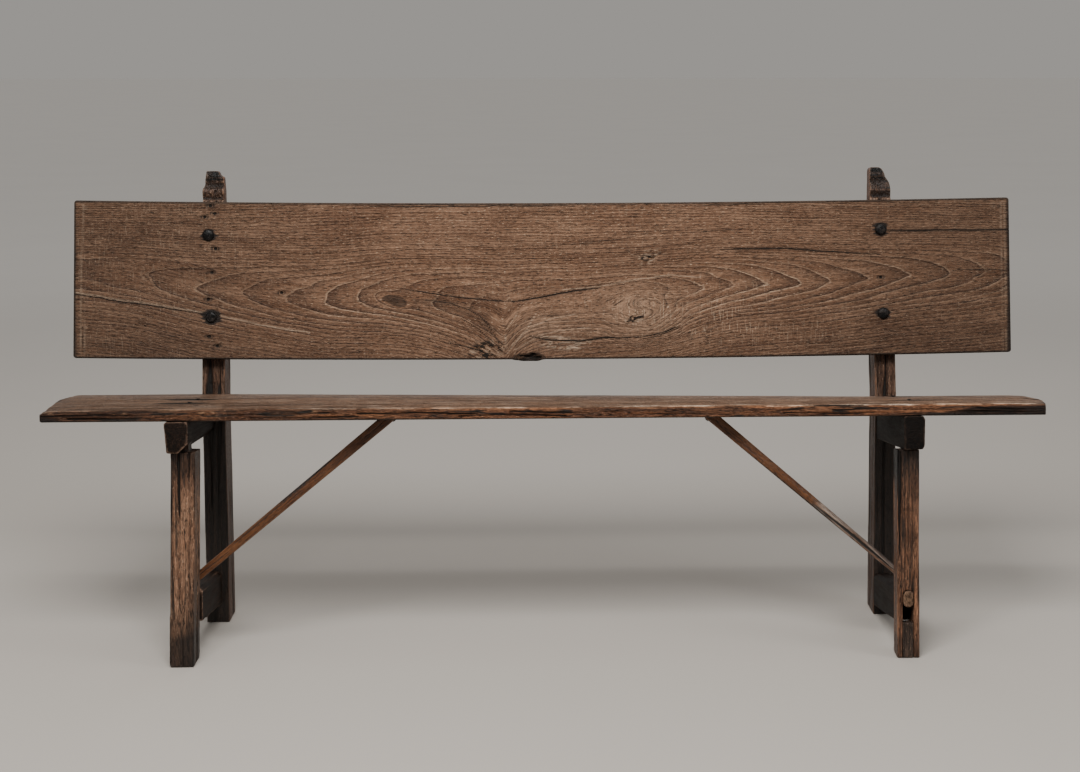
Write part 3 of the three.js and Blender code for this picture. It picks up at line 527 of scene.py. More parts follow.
def backFlow(x, w):  # how the fibres run over the face
    b = backPlank
    axis = through(b["axis"], x)
    level, top = b["straight"]
    up = np.clip((w - axis) / (top - axis), 0, 1) ** 0.85
    flow = w - (axis * (1 - up) + level * up)
    place, leftReach, rightReach = b["fold"]
    reach = np.where(x < place, (place - x) / leftReach, (x - place) / rightReach)
    flow += np.interp(w, *zip(*b["foldDepth"])) * np.exp(-(np.sqrt(reach ** 2 + 0.01) - 0.1) * 1.3)
    aside, above = (x - b["swirl"][0]) / b["swirlWide"], w - b["swirl"][1] - 2
    far = aside ** 2 + above ** 2
    return flow - 24 * above / np.sqrt(far + 90) * np.exp(-far / 3600)


def nearest(fields, blend):  # the least of several fields, with soft seams
    fields = np.stack(fields)
    least = fields.min(0)
    return least - blend * np.log(np.exp((least - fields) / blend).sum(0))


def backRings(p):  # the growth rings: nested arches, with a swirl and an eye among them
    b = backPlank
    x, w = p[:, 0], p[:, 2]
    flow = backFlow(x, w)
    deep = through(b["depth"], x) - (p[:, 1] - b["front"]) * 0.8
    t = flow + 2.0 * uneven(p, (60, 60, 20), 15)
    near = np.abs(t) + 1.0
    t = t * np.where(near < 40, (40 / near) ** (0.34 * ramp(100, 400, x)), 1)
    t = np.where(t > 0, t * (0.55 + 0.5 * ramp(0, 110, t)), t)
    main = np.sqrt(t ** 2 + deep ** 2) / b["spacing"]
    wander = uneven(p, (45, 45, 30), 13)
    (sx, sw), (ex, ew) = b["swirl"], b["eye"]
    far = np.hypot((x - sx + 8 * wander) / b["swirlWide"], w - sw - 0.1 * (x - 196) + 8 * wander)
    swirl = far / 12 + (far / 40) ** 3 + 5.2
    far = np.hypot((x - ex) / 2.3, w - ew + 0.22 * (x - ex))
    eye = far / 6 + (far / 30) ** 3 + 7.6
    rings = nearest([main, swirl, eye], 0.5)
    rings += 0.4 * uneven(p, (170, 60, 40), 11) + 0.14 * uneven(p, (50, 40, 12), 12)
    return rings, flow


def fromMiddle(x):  # 0 in the back plank's middle, -1 and 1 at its ends
    left, right = backPlank["left"], backPlank["right"]
    return (x - (right + left) / 2) / ((right - left) / 2)


def makeBackPlank():
    b = backPlank
    length = b["right"] - b["left"] + 2 * b["endSlant"]
    near = np.array([0.0, 0.6, 2.0])
    stations = np.concatenate([near, np.arange(4.0, length - 4.0, b["along"]), length - near[::-1]])

    rows = np.linspace(0, 1, int(b["height"] / b["up"]) + 1)
    rowsBehind = np.linspace(1, 0, int(b["height"] / b["upBehind"]) + 1)
    low = [(0.0, 0.25)] + [(v, 0.0) for v in rows[1:-1]] + [(1.0, 0.25)]
    high = [(1.0, 0.75)] + [(v, 1.0) for v in rowsBehind[1:-1]] + [(0.0, 0.75)]
    up, back = np.array(low + high).T
    slant = b["endSlant"] * (1 - up)
    rings = np.zeros((len(stations), len(up), 3))
    for i, station in enumerate(stations):
        fromEnd = min(station, length - station)
        shrink = roundOff(fromEnd, 2.5, 2.2)
        corner = roundOff(fromEnd, b["corner"], b["corner"])
        x = b["left"] - slant + station / length * (b["right"] - b["left"] + 2 * slant)
        bow = b["sag"] * (1 - fromMiddle(x) ** 2)
        bottom = b["bottom"] - bow + corner
        rings[i, :, 0] = x
        rings[i, :, 1] = b["front"] + shrink * 0.5 + back * (b["thickness"] - shrink)
        rings[i, :, 2] = bottom + up * (b["height"] - 2 * corner)
    points, faces = skinned(rings, len(low), lambda p: p[:, 2])
    return points, faces, np.tile(back < 0.2, len(stations))


backMarks = {
    # lines: how wide, how strong, and the points that they run through
    "cracks": [
        (1.6, 0.9, [(-891, 202), (-803, 188), (-728, 177), (-640, 161.5)]),
        (1.8, 1.0, [(-60, 183), (-6, 191), (33, 198), (71, 205), (109, 209)]),
        (1.6, 0.85, [(-262, 206), (-197, 197), (-101, 186), (-54, 184)]),
        (1.0, 0.6, [(109, 209), (186, 221), (244, 229), (302, 225)]),
        (1.7, 0.9, [(341, 282), (457, 283), (534, 278), (650, 271)]),
        (1.9, 1.0, [(664, 316), (767, 317), (903, 318)]), (1.3, 0.8, [(790, 239), (837, 240), (904, 239)]),
        (1.1, 0.7, [(283, 315), (379, 319)]),
        (1.7, 1.0, [(-25, 116), (3, 110), (71, 107), (109, 112), (186, 114)]),
        (1.3, 0.9, [(186, 114), (234, 123), (263, 136)]), (1.0, 0.8, [(186, 110), (224, 116), (275, 138)]),
        (1.6, 0.75, [(-225, 187), (-178, 181), (-140, 168), (-111, 148), (-92, 119), (-83, 100)]),
        (1.5, 0.75, [(-159, 152), (-125, 133), (-102, 110)]),
        (1.4, 0.8, [(-190, 107), (-140, 96), (-102, 84)]),
        (1.0, 0.6, [(-150, 175), (-110, 165)]), (1.0, 0.6, [(-230, 178), (-195, 172)]),
        (1.7, 0.75, [(-330, 367), (-205, 365), (-60, 367), (60, 366)]), (1.7, 0.7, [(300, 366), (420, 369)]),
        (1.3, 0.55, [(-320, 300), (-180, 290), (-60, 286)]), (1.3, 0.55, [(0, 288), (130, 300), (205, 312)]),
        (0.8, 0.5, [(-690, 150), (-560, 128), (-440, 104)]), (0.8, 0.4, [(440, 130), (620, 138), (760, 150)]),
        (1.0, 0.7, [(-688, 348), (-677, 370)]),
    ],
    "pale": [
        (1.5, 0.62, [(-891, 205), (-803, 191), (-728, 180), (-634, 164)]),
        (1.3, 0.6, [(-620, 161), (-539, 142), (-445, 126)]),
        (1.2, 0.4, [(40, 205), (109, 212), (186, 225), (244, 232), (302, 228)]),
        (1.8, 0.55, [(-4, 114), (32, 117), (61, 105), (80, 103)]),
        (1.4, 0.6, [(60, 100), (76, 110), (92, 104)]),
        (1.0, 0.45, [(-69, 84), (-50, 110), (-30, 132), (-14, 160)]),
        (1.2, 0.35, [(-60, 98), (-25, 132), (13, 150), (60, 158)]),
        (1.0, 0.4, [(-74, 92), (-70, 130), (-50, 158)]),
        (1.4, 0.3, [(-52, 92), (-10, 116), (30, 128), (90, 132)]),
    ],
    "scribes": [
        (0.9, 0.5, [(-634, 374), (-634, 90)]), (0.9, 0.5, [(652, 372), (653, 84)]),
        (0.9, 0.6, [(-872, 371), (-874, 86)]), (0.9, 0.6, [(889, 370), (894, 84)]),
        (0.8, 0.5, [(-868, 366), (-500, 361), (0, 357), (500, 360), (885, 366)]),
        (0.9, 0.8, [(10, 349), (12, 263), (9, 120)]),
    ],
    # a place in each, then how strong a nail's stain is or how far a speck reaches
    "holes": [(-631, 369), (-642, 348), (-623, 354), (-622, 287), (-629, 242), (-637, 191), (-636, 120),
              (-620, 102), (652, 227), (-498, 203)],
    "nails": [(-635, 313, 0.8), (-631, 157, 0.95), (652, 319, 0.85), (657, 157, 0.7)],
    "specks": [(-505, 335, 3), (-240, 150, 2.5), (-330, 240, 3), (330, 155, 3), (305, 178, 2), (450, 128, 4),
               (536, 150, 2.5), (790, 155, 3), (-780, 320, 2.5), (-120, 330, 2.5), (90, 330, 2.5),
               (420, 340, 2), (-560, 120, 2.5), (-58, 371, 6), (201, 371, 7), (-172, 371, 5), (470, 374, 4)],
    # where along the face it is frayed, where the painted shade and the figure are weakest, and bold: how
    # bold, where and how wide
    "frayed": -28, "rubbedAt": 20, "bold": [(0.7, -440, 120), (0.5, 430, 150)],
    # From here on each has its place and its size. Of the wrinkles the second is the point that
    # they turn about, and the sawn spots begin with how strong they are.
    "burr": ((-30, 73), (2.4, 0.85)), "gnarl": ((42, 102), (54, 15)), "wrinkles": ((-108, 91), (-48, 62)),
    "knots": [((205, 268), (23, 12)), ((180, 152), (22, 12))],
    "calm": ((185, 168), (85, 48)), "fan": ((-5, 142), (65, 34)), "lighter": ((180, 170), (150, 60)),
    "sawn": [(0.75, (425, 150), (150, 48)), (0.3, (790, 150), (70, 40))],
    "smudge": [(-240, 182), (-178, 177), (-140, 164), (-108, 142), (-88, 108)],
}


def drawLines(p, m):  # cracks, pale lines and scribed lines
    x, w = p[:, 0], p[:, 2]
    wobble = uneven(p, (30, 30, 30), 31) * 1.8
    patchy = np.clip(0.5 + 0.9 * uneven(p, (18, 18, 18), 33), 0, 1)
    for width, much, line in backMarks["cracks"]:
        d, along = nearLine(x, w + wobble, line)
        thin = width * (0.55 + 0.45 * ramp(0, 0.2, along) * ramp(1, 0.75, along))
        shape = much * ramp(thin * 1.25, thin * 0.3, d)
        atLeast(m, mark=shape, dent=shape * width * 0.9)
    for width, much, line in backMarks["pale"]:
        d, _ = nearLine(x, w + wobble, line)
        atLeast(m, pale=much * ramp(width * 1.4, width * 0.3, d))
    for width, much, line in backMarks["scribes"]:
        d, _ = nearLine(x, w, line)
        faint = patchy * much
        beside = 0.75 * faint * ramp(1.5, 0.4, np.abs(d - 2.8)) * (np.abs(x) > 862)
        cut = ramp(width * 1.7, width * 0.3, d) * faint
        atLeast(m, mark=cut, pale=beside, dent=ramp(width * 1.6, 0, d) * 0.5)


def drawSpots(p, m):  # specks, small holes and stains about the nails
    x, w = p[:, 0], p[:, 2]
    crumbled, chipped = 1.2 * uneven(p, (3, 3, 3), 38), 0.7 * uneven(p, (4, 4, 4), 34)
    wide = np.clip(1.25 + 1.3 * uneven(p, (40, 40, 3.5), 32), 0.9, 3)
    for hx, hw, reach in backMarks["specks"]:
        d = away(x, w, (hx, hw), (1.6, 1)) + crumbled
        atLeast(m, mark=0.6 * ramp(reach, reach * 0.3, d))
    for place in backMarks["holes"]:
        d = away(x, w, place, (1.2, 1)) + chipped
        atLeast(m, mark=ramp(4.4, 2.2, d), dent=ramp(4.2, 1.2, d) * 4)
    for nx, nw, much in backMarks["nails"]:
        atLeast(m, stain=1.1 * ramp(21, 11, away(x, w, (nx, nw), (wide, 1)) / much))


def drawGnarls(p, m):  # the burr at the lower edge, with bark in it, and the small knots
    x, w = p[:, 0], p[:, 2]
    ragged, torn, bark = uneven(p, (9, 9, 5), 35), uneven(p, (7, 7, 4), 39), uneven(p, (14, 14, 2.5), 49)
    burr = away(x, w, *backMarks["burr"]) + 7 * torn
    atLeast(m, mark=ramp(14, 11, burr) * (0.45 + 0.55 * ramp(-0.25, 0.1, bark)),
            dent=ramp(14, 8, burr) * (6 + 5 * bark))
    gnarled = ramp(1.1, 0.5, away(x, w, *backMarks["gnarl"]))
    atLeast(m, pale=0.8 * gnarled * ramp(-0.1, 0.35, torn), mark=0.55 * gnarled * ramp(0.25, 0.5, -torn),
            dent=gnarled * (0.8 - 1.6 * torn))

    (mx, mw), (tx, tw) = backMarks["wrinkles"]  # their middle, and the point that they turn about
    wrinkles = ramp(1.3, 0.7, np.hypot((x - mx) / 3.6, (w - mw) / 1.7 - 0.08 * (x - mx)) / 11)
    turn = np.arctan2(w - tw, x - tx) * 62 + 3 * ragged
    folds = uneven(np.stack([turn, p[:, 1], np.hypot(x - tx, w - tw)], 1), (3.4, 9, 13), 36)
    atLeast(m, mark=0.72 * wrinkles * ramp(-0.1, 0.2, folds), pale=0.4 * wrinkles * ramp(0.05, 0.35, -folds))

    for (cx, cw), (rx, rw) in backMarks["knots"]:
        d = np.hypot((x - cx) / rx, (w - cw - 0.25 * (x - cx)) / rw) + 0.35 * ragged
        within = ramp(1.05, 0.6, d)
        around = np.stack([d * 9, np.arctan2(w - cw, x - cx) * 3, x], 1)
        curl = uneven(around, (2.6, 2.2, 40), 50)
        atLeast(m, mark=within * (0.68 * ramp(0.0, 0.25, curl) + 0.7 * ramp(0.32, 0.1, d)),
                pale=0.5 * ramp(1.4, 0.9, d) * ramp(0.05, 0.4, -torn),
                dent=1.4 * within * ramp(-0.2, 0.4, torn))


def drawEdges(p, m):  # darker along the ends and the top edge, and painted shade along the bottom edge, which faces down
    b, x, w = backPlank, p[:, 0], p[:, 2]
    fromEnd = np.minimum(x - b["left"] + 4, b["right"] + 3 - x)
    rise = fromMiddle(x) ** 2
    low = b["bottom"] - b["sag"] * (1 - rise)
    high = low + b["height"] + 1 - rise
    atLeast(m, stain=0.8 * ramp(12, 0, fromEnd + 5 * uneven(p, (18, 18, 30), 37)))
    # painted shade along the bottom edge
    atLeast(m, stain=0.8 * ramp(6.5, 0, w - low))
    atLeast(m, stain=0.5 * ramp(4, 0, high - w))


def carveBackPlank(points, onFace, rings, dent):  # cracks, hollows, ring furrows and a ragged burr
    b, x, w = backPlank, points[:, 0].copy(), points[:, 2].copy()
    hollow = 0.5 + 0.5 * uneven(points, (260, 200, 70), 43) + 0.15 * uneven(points, (50, 50, 5), 44)
    groove = 0.25 * ramp(0.35, 0.0, 1 - rings % 1) * ramp(0.0, 0.06, rings % 1)
    points[:, 1] += np.where(onFace, dent + hollow * 0.7 + groove, 0)
    behind = ~onFace & (points[:, 1] > b["front"] + 20)
    points[:, 1] -= np.where(behind, 0.5 + 0.5 * uneven(points, (120, 120, 14), 47), 0)
    frayed = ramp(34, 14, np.abs(x - backMarks["frayed"]) + 9 * uneven(points, (9, 9, 9), 45))
    points[:, 2] -= ramp(12, 0, w - b["bottom"] + b["sag"]) * 3.2 * frayed


def dressBackPlank():
    points, faces, onFace = makeBackPlank()
    rings, flow = backRings(points)
    m = blank(points, "mark", "pale", "dent", "stain")
    for draw in (drawLines, drawSpots, drawGnarls, drawEdges):
        draw(points, m)
    x, w = points[:, 0].copy(), points[:, 2].copy()
    aside = np.abs(x - backMarks["rubbedAt"])
    arched = ramp(80, 12, np.abs(flow + 8)) * (0.3 + 0.7 * ramp(60, 330, aside))
    arched *= 0.75 + 0.5 * uneven(points, (70, 70, 30), 41)
    rim = arched * (0.42 + 0.3 * ramp(-200, 250, x))
    bold = sum(much * np.exp(-((x - middle) / wide) ** 2) for much, middle, wide in backMarks["bold"])
    figure = arched * (0.8 + bold)
    carveBackPlank(points, onFace, rings, m["dent"])
    mesh = newMesh("backPlankWood", moved(points, benchToWorld), faces)

    calm, fan = spot(x, w, *backMarks["calm"]), spot(x, w - 0.2 * x, *backMarks["fan"])
    ex, ew = backPlank["eye"]
    eye = np.hypot((x - ex) / 25, (w - ew + 0.2 * (x - ex)) / (7.5 + 0.13 * (x - ex + 26)))
    eye += 0.15 * uneven(points, (14, 14, 7), 46)
    smudge = ramp(17, 3, nearLine(x, w, backMarks["smudge"])[0])
    smudge *= ramp(-0.25, 0.4, uneven(np.stack([x, flow, flow], 1), (55, 4, 4), 68))
    # painted shade: the ends are darker than the middle, as less light reaches them, and the face darkens a
    # little towards the bottom
    shade = 0.34 * ramp(250, 800, aside) + 0.1 * ramp(120, 0, w - backPlank["bottom"])
    shade += 0.62 * ramp(1.0, 0.9, eye) + 0.4 * smudge - 0.14 * fan - 0.1 * spot(x, w, *backMarks["lighter"])
    sawn = 0.14 + 0.5 * calm + 0.25 * ramp(-500, -700, x)
    sawn += sum(much * spot(x, w, place, size) for much, place, size in backMarks["sawn"])
    sawn *= np.clip(0.5 + 1.1 * uneven(points, (60, 60, 40), 48), 0, 1)
    atLeast(m, pale=0.16 * calm + 0.1 * fan)
    front = onFace.astype(float)
    dressPiece(
        "backPlankWood", mesh, "back_wood", "back_plank", oldWood("plankWood", backLook),
        grain=np.stack([x, flow, points[:, 1]], 1) / perMetre, ring=rings, steep=steepness(mesh, rings),
        mark=m["mark"] * front, pale=m["pale"] * front, figure=figure * front, rim=rim * front,
        stain=m["stain"], shade=shade, edge=edgeSharpness(mesh, 8) * perMetre, sawn=sawn * front,
        calm=np.maximum(0.6 * calm, ramp(1.3, 1.1, eye)))
    print("back plank:", len(points), "points")


# Seat plank

seatLook = {
    "seed": 23.0, "fineness": 1.2, "deep": (0.07, 0.033, 0.017), "mid": (0.15, 0.083, 0.049),
    # the dust colour is also the colour of the painted highlights and glints along the front edge
    "light": (0.275, 0.173, 0.113), "line": (0.02, 0.009, 0.005), "dust": (0.6, 0.49, 0.39),
    "worn": (0.36, 0.24, 0.165), "dirt": (0.006, 0.004, 0.003), "stain": (0.01, 0.007, 0.005),
    "glowing": (0.46, 0.36, 0.27), "tint": (1.0, 0.66, 0.45), "lines": 0.9, "band": 3.5, "glow": 0.05,
    "flecks": 0.5, "fibre": 2.5, "hair": 2.0, "streak": 1.3,
    "pores": 0.75, "rubbed": 0.6, "rough": 0.55, "gloss": 0.24, "relief": 0.0022,
}
seat = {
    "left": -890, "right": 907, "leftBulge": 8.5, "rightBulge": 15, "depth": 289, "thickness": 24,
    "edgeShare": 0.81, "corners": {"left": (2.5, 9), "right": (5, 14)}, "bearers": (-630, 648),
    "tilts": (1.2, -1.6), "along": 3.4,
    "leftEnd": [(0, 0), (0.03, -0.2), (0.1, -0.5), (0.36, 0.1), (0.63, 0.95), (0.82, 0.25), (1, 0)],
    "rightEnd": [(0, 0), (0.35, 0.87), (0.8, 1), (0.93, 0.6), (1, 0)],
    "top": [(0, 0.6), (0.012, 0.76), (0.03, 0.87), (0.2, 1), (0.8, 1), (0.975, 0.95), (1, 0.86)],
}


def seatUnderside(x, y):
    share = np.clip((x - seat["bearers"][0]) / (seat["bearers"][1] - seat["bearers"][0]), 0, 1)
    a, b = (math.tan(math.radians(t)) for t in seat["tilts"])
    return y * (a + (b - a) * share) - seat["thickness"] * seat["edgeShare"]


seatMarks = {
    # cracks in the front edge and in the top: how wide, and the points that they run through
    "front": [
        (1.2, [(-885, -8), (-790, -6), (-700, -8), (-600, -6)]),
        (1.0, [(-840, -13), (-740, -14), (-650, -12)]),
        (1.3, [(-560, -7), (-470, -9), (-380, -6)]), (1.0, [(-520, -13), (-420, -15), (-330, -13)]),
        (1.2, [(-330, -8), (-230, -6), (-120, -9)]), (0.9, [(-150, -13), (-60, -11), (40, -14)]),
        (1.2, [(-60, -5), (60, -8), (150, -7)]), (1.0, [(180, -12), (300, -13), (420, -11)]),
        (1.3, [(230, -6), (360, -8), (470, -6)]), (1.1, [(430, -12), (540, -14), (640, -13)]),
        (1.3, [(520, -7), (640, -6), (740, -9)]), (1.2, [(700, -13), (800, -12), (900, -14)]),
        (1.2, [(780, -6), (860, -8), (915, -7)]),
    ],
    "top": [
        (1.6, [(-690, 98), (-650, 103), (-610, 99)]), (1.0, [(-400, 60), (-250, 66), (-80, 62)]),
        (1.0, [(150, 120), (330, 116), (520, 122)]), (1.4, [(600, 225), (700, 232), (860, 238)]),
        (1.2, [(560, 60), (720, 66), (880, 62)]), (1.1, [(-860, 150), (-760, 158), (-680, 150)]),
        (1.0, [(-120, 190), (60, 196), (240, 188)]), (4.2, [(850, 128), (880, 146), (902, 143), (915, 78)]),
        (3.0, [(-700, 166), (-650, 170), (-600, 164)]), (2.4, [(470, 8), (520, 9), (580, 7)]),
        (3.2, [(640, 170), (690, 178), (780, 172)]), (2.6, [(240, 60), (330, 66), (410, 61)]),
    ],
    # a place in each, then how far it reaches, and how deep a chip is
    "nails": [(-644, 98), (-640, 162), (675, 95), (670, 234)],
    # the lights are painted highlights on the front edge
    "lights": [(-606, -3, 7), (-586, -1.5, 4), (-871, -3, 5), (-580, -10, 3), (-409, -2, 8), (556, -3, 5),
               (-742, -4, 4)],
    "chips": [(88, 22, 3.4), (-560, 30, 2.4), (420, 24, 2.4), (-812, 16, 1.6), (-250, 26, 1.8),
              (650, 34, 2.2), (300, 14, 1.6), (795, 20, 1.6), (-690, 14, 1.5)],
    "wedge": [(640, 0.05), (700, 0.1), (790, 0.75), (920, 0.85)],  # dark at the right end, by its height
}


def makeSeat():
    s = seat
    length = s["right"] - s["left"]
    near = np.array([0.0, 0.5, 1.6, 4.0, 8.0])
    stations = np.concatenate([near, np.arange(12.0, length - 12, s["along"]), length - near[::-1]])
    # the section, as shares of the depth and the thickness
    frontRows, rearRows = [0, 0.006, 0.012, 0.02, 0.03], [0.985, 0.993, 1.0]
    topAlong = np.concatenate([frontRows, np.linspace(0.038, 0.975, 115), rearRows])
    topUp = np.interp(topAlong, *zip(*s["top"]))
    low = [(0.016, 0.0)] + [(v, 0.0) for v in np.linspace(0.03, 0.975, 40)] + [(0.988, 0.0)]
    rear = [(1.0, u) for u in (0.06, 0.3, 0.55, 0.75)]
    front = [(0.0, u) for u in np.linspace(0.54, 0.06, 9)]
    along, up = np.array(low + rear + list(zip(topAlong[::-1], topUp[::-1])) + front).T
    rings = np.zeros((len(stations), len(along), 3))
    for i, station in enumerate(stations):
        side = "left" if station < length / 2 else "right"
        fromEnd = min(station, length - station)
        frontIn, rearIn = (roundOff(fromEnd, r, r) for r in s["corners"][side])
        x = station + s["left"]
        y = frontIn + along * (s["depth"] - frontIn - rearIn)
        end = "left" if x < 0 else "right"
        bulge = s[end + "Bulge"] * np.interp(along, *zip(*s[end + "End"])) * (x / s[end]) ** 6 * np.sign(x)
        thin = roundOff(fromEnd, 2.4, 1.6)
        rings[i, :, 0] = x + bulge
        rings[i, :, 1] = y
        rings[i, :, 2] = seatUnderside(x, y) + thin * (1 - 2 * up) + up * s["thickness"]
    points, faces = skinned(rings, len(low), lambda p: p[:, 1])
    return points, faces, np.tile(along, len(stations)), np.tile(up, len(stations))


def drawSeatMarks(points, m, frontFace, topFace):
    x, y, z = points.T
    wander = uneven(points, (60, 25, 60), 51) * 2
    patchy = frontFace * ramp(-0.6, 0.3, uneven(points, (90, 90, 90), 52))
    for width, line in seatMarks["front"]:
        d, _ = nearLine(x, z + wander * 0.7, line)
        shape = ramp(width * 1.7, width * 0.3, d) * patchy
        atLeast(m, mark=shape, dent=shape * 1.6)
    for width, line in seatMarks["top"]:
        d, share = nearLine(x, y + wander, line)
        opened = ramp(0, 0.35, share) * np.maximum(ramp(1, 0.65, share), x > 880)
        width = width * (0.3 + 0.7 * opened)  # thinner towards its ends
        shape = ramp(width * 2.2, width * 0.4, d) * topFace
        atLeast(m, mark=shape, dent=shape * 0.8)
    for nx, ny in seatMarks["nails"]:
        d = away(x, y, (nx + 10 * np.sign(nx), ny), (3.6, 1))
        atLeast(m, stain=1.3 * topFace * ramp(20, 8, d))


def wearSeat(points, along, up, frontFace, topFace, dent):  # a wavy front edge, chips, ripples and dents
    x = points[:, 0]
    arris = ramp(0.06, 0.0, along) * ramp(0.3, 0.75, up)
    wave = 0.8 + 0.9 * uneven(points, (70, 400, 400), 53) + 0.7 * uneven(points, (16, 90, 90), 54)
    chip = sum(deep * ramp(wide, wide * 0.15, np.abs(x - cx)) for cx, wide, deep in seatMarks["chips"])
    hewn = 0.9 * uneven(points, (46, 60, 4.5), 61)
    points[:, 1] += frontFace * np.clip(0.9 * wave + dent + hewn, 0, 6) + arris * chip * 0.7
    points[:, 2] -= arris * (np.clip(wave * 1.1, 0, 3) + chip * 0.5)
    tired = ramp(22, 2, x - seat["left"] - 4 * uneven(points, (12, 12, 12), 66)) * ramp(0.6, 0.0, along)
    points[:, 2] -= topFace * tired * 3.2
    ripple = 0.5 + 0.5 * uneven(points, (200, 60, 400), 55) + 0.3 * uneven(points, (90, 7, 400), 56)
    points[:, 2] -= topFace * (ripple * 0.9 + dent)
    under = (up < 0.03) & (along > 0.02) & (along < 0.98)
    points[:, 2] += np.where(under, 0.4 + 0.4 * uneven(points, (160, 16, 400), 57), 0)


def seatShades(points, x, z, along, up, frontFace, topFace, stain):  # what is dark, pale, stained or tinted
    bruised = ramp(-0.1, 0.5, uneven(points, (90, 30, 8), 62))
    ragged = up + 0.04 * uneven(points, (60, 60, 60), 65)
    facing = (up > 0.03) * (along < 0.06) * ramp(0.9, 0.8, ragged)
    ends = ramp(560, 860, np.abs(x)) + 0.5 * ramp(-100, -500, x)
    fromEnd = np.minimum(x - seat["left"] + 3, seat["right"] - 1 - x + 15 * (along > 0.1))
    endGrain = ramp(5, 1, fromEnd)
    wedge = facing * ramp(0.05, -0.05, up - np.interp(x, *zip(*seatMarks["wedge"]))) * (x > 640)
    # painted shade and light: the front face, which the light from above misses, is darker than the top, more
    # so towards the ends. The top is darker towards the left end.
    shade = facing * (0.37 + 0.3 * bruised + 0.24 * ends) + 0.34 * topFace * ramp(100, 700, -x)
    shade -= 0.2 * facing * ramp(520, 640, x) * ramp(800, 690, x)
    shade = np.clip(shade + 0.45 * wedge, 0, 0.93)
    # painted shade under the plank, and painted light that makes the top paler, more so towards the right;
    # the end grain stays dark
    shade += 0.3 * (up < 0.1) - 0.14 * topFace - 0.14 * topFace * ramp(-200, 500, x)
    shade = np.maximum(shade, 0.8 * endGrain) - 0.17 * topFace * (1 - endGrain) * ramp(-100, 450, x)
    rubs = uneven(points, (130, 16, 400), 69, 4)
    shade += topFace * (0.3 * ramp(0.1, 0.6, rubs) - 0.12 * ramp(0.0, 0.5, -rubs))

    # painted highlight: a broken pale line along the front arris, where it catches the light
    lit = ramp(0.0, 0.35, uneven(points, (46, 8, 8), 67)) * ramp(0.8, 0.84, up) * ramp(0.93, 0.89, up)
    pale = 0.95 * lit * (along < 0.06) * (1 - endGrain) * (0.25 + 0.75 * ramp(-450, 0, x))
    for cx, cz, reach in seatMarks["lights"]:  # painted highlights: small glints on the front edge
        glint = ramp(1.2, 0.5, away(x, z, (cx, cz), (reach, 3)))
        pale = np.maximum(pale, 0.95 * (frontFace > 0.3) * glint)
    pale += 0.35 * topFace * ramp(0.25, 0.55, uneven(points, (60, 5, 400), 70, 2))
    stain = np.maximum(stain, 0.75 * ramp(0.22, 0.0, up) * (along < 0.05))
    stain = np.maximum(stain, facing * 0.9 * ramp(0.1, 0.5, uneven(points, (38, 30, 5), 63)))
    tint = np.clip(facing + 0.5 * endGrain + 0.15 * topFace, 0, 1)
    return {"shade": shade, "pale": pale, "stain": stain, "tint": tint}


def dressSeat():
    points, faces, along, up = makeSeat()
    x, y, z = points.T.copy()
    frontFace = ramp(0.02, 0.0, along) * (up > 0.03)
    topFace = (up > 0.7).astype(float)
    m = blank(points, "mark", "dent", "stain")
    drawSeatMarks(points, m, frontFace, topFace)
    wearSeat(points, along, up, frontFace, topFace, m["dent"])
    mesh = newMesh("seatPlankWood", moved(points, benchToWorld), faces)
    spread = np.hypot(y - 150 + 30 * uneven(points, (420, 400, 400), 58), z + 66)
    rings = spread / 4.6 + 0.5 * uneven(points, (190, 24, 24), 59)
    flow = y + 6 * uneven(points, (300, 60, 60), 64)
    depth = np.where(frontFace > 0.3, z, z * 0.2)
    dressPiece(
        "seatPlankWood", mesh, "seat_wood", "seat_plank", oldWood("seatWood", seatLook),
        grain=np.stack([x, flow, depth], 1) / perMetre, ring=rings, steep=steepness(mesh, rings),
        mark=m["mark"], edge=edgeSharpness(mesh, 4) * perMetre,
        **seatShades(points, x, z, along, up, frontFace, topFace, m["stain"]))
    print("seat plank:", len(points), "points")


# Posts, legs, rails and braces

frameLook = {
    "seed": 41.0, "fineness": 1.1, "deep": (0.045, 0.019, 0.009), "mid": (0.13, 0.063, 0.034),
    "light": (0.3, 0.17, 0.103), "line": (0.015, 0.007, 0.004), "dust": (0.42, 0.3, 0.21),
    "worn": (0.36, 0.22, 0.145), "dirt": (0.005, 0.003, 0.002), "stain": (0.012, 0.007, 0.005),
    "glowing": (0.42, 0.3, 0.21), "tint": (1.0, 0.72, 0.55), "lines": 0.9, "band": 3.5, "glow": 0.12,
    "flecks": 0.5, "fibre": 2.5, "hair": 1.7, "streak": 1.2,
    "pores": 0.7, "rubbed": 0.5, "rough": 0.44, "gloss": 0.45, "relief": 0.0028,
}


def like(base, **changes):
    return {**base, **changes}


postLook = like(frameLook, deep=(0.026, 0.011, 0.006), mid=(0.07, 0.033, 0.019), light=(0.17, 0.092, 0.058))
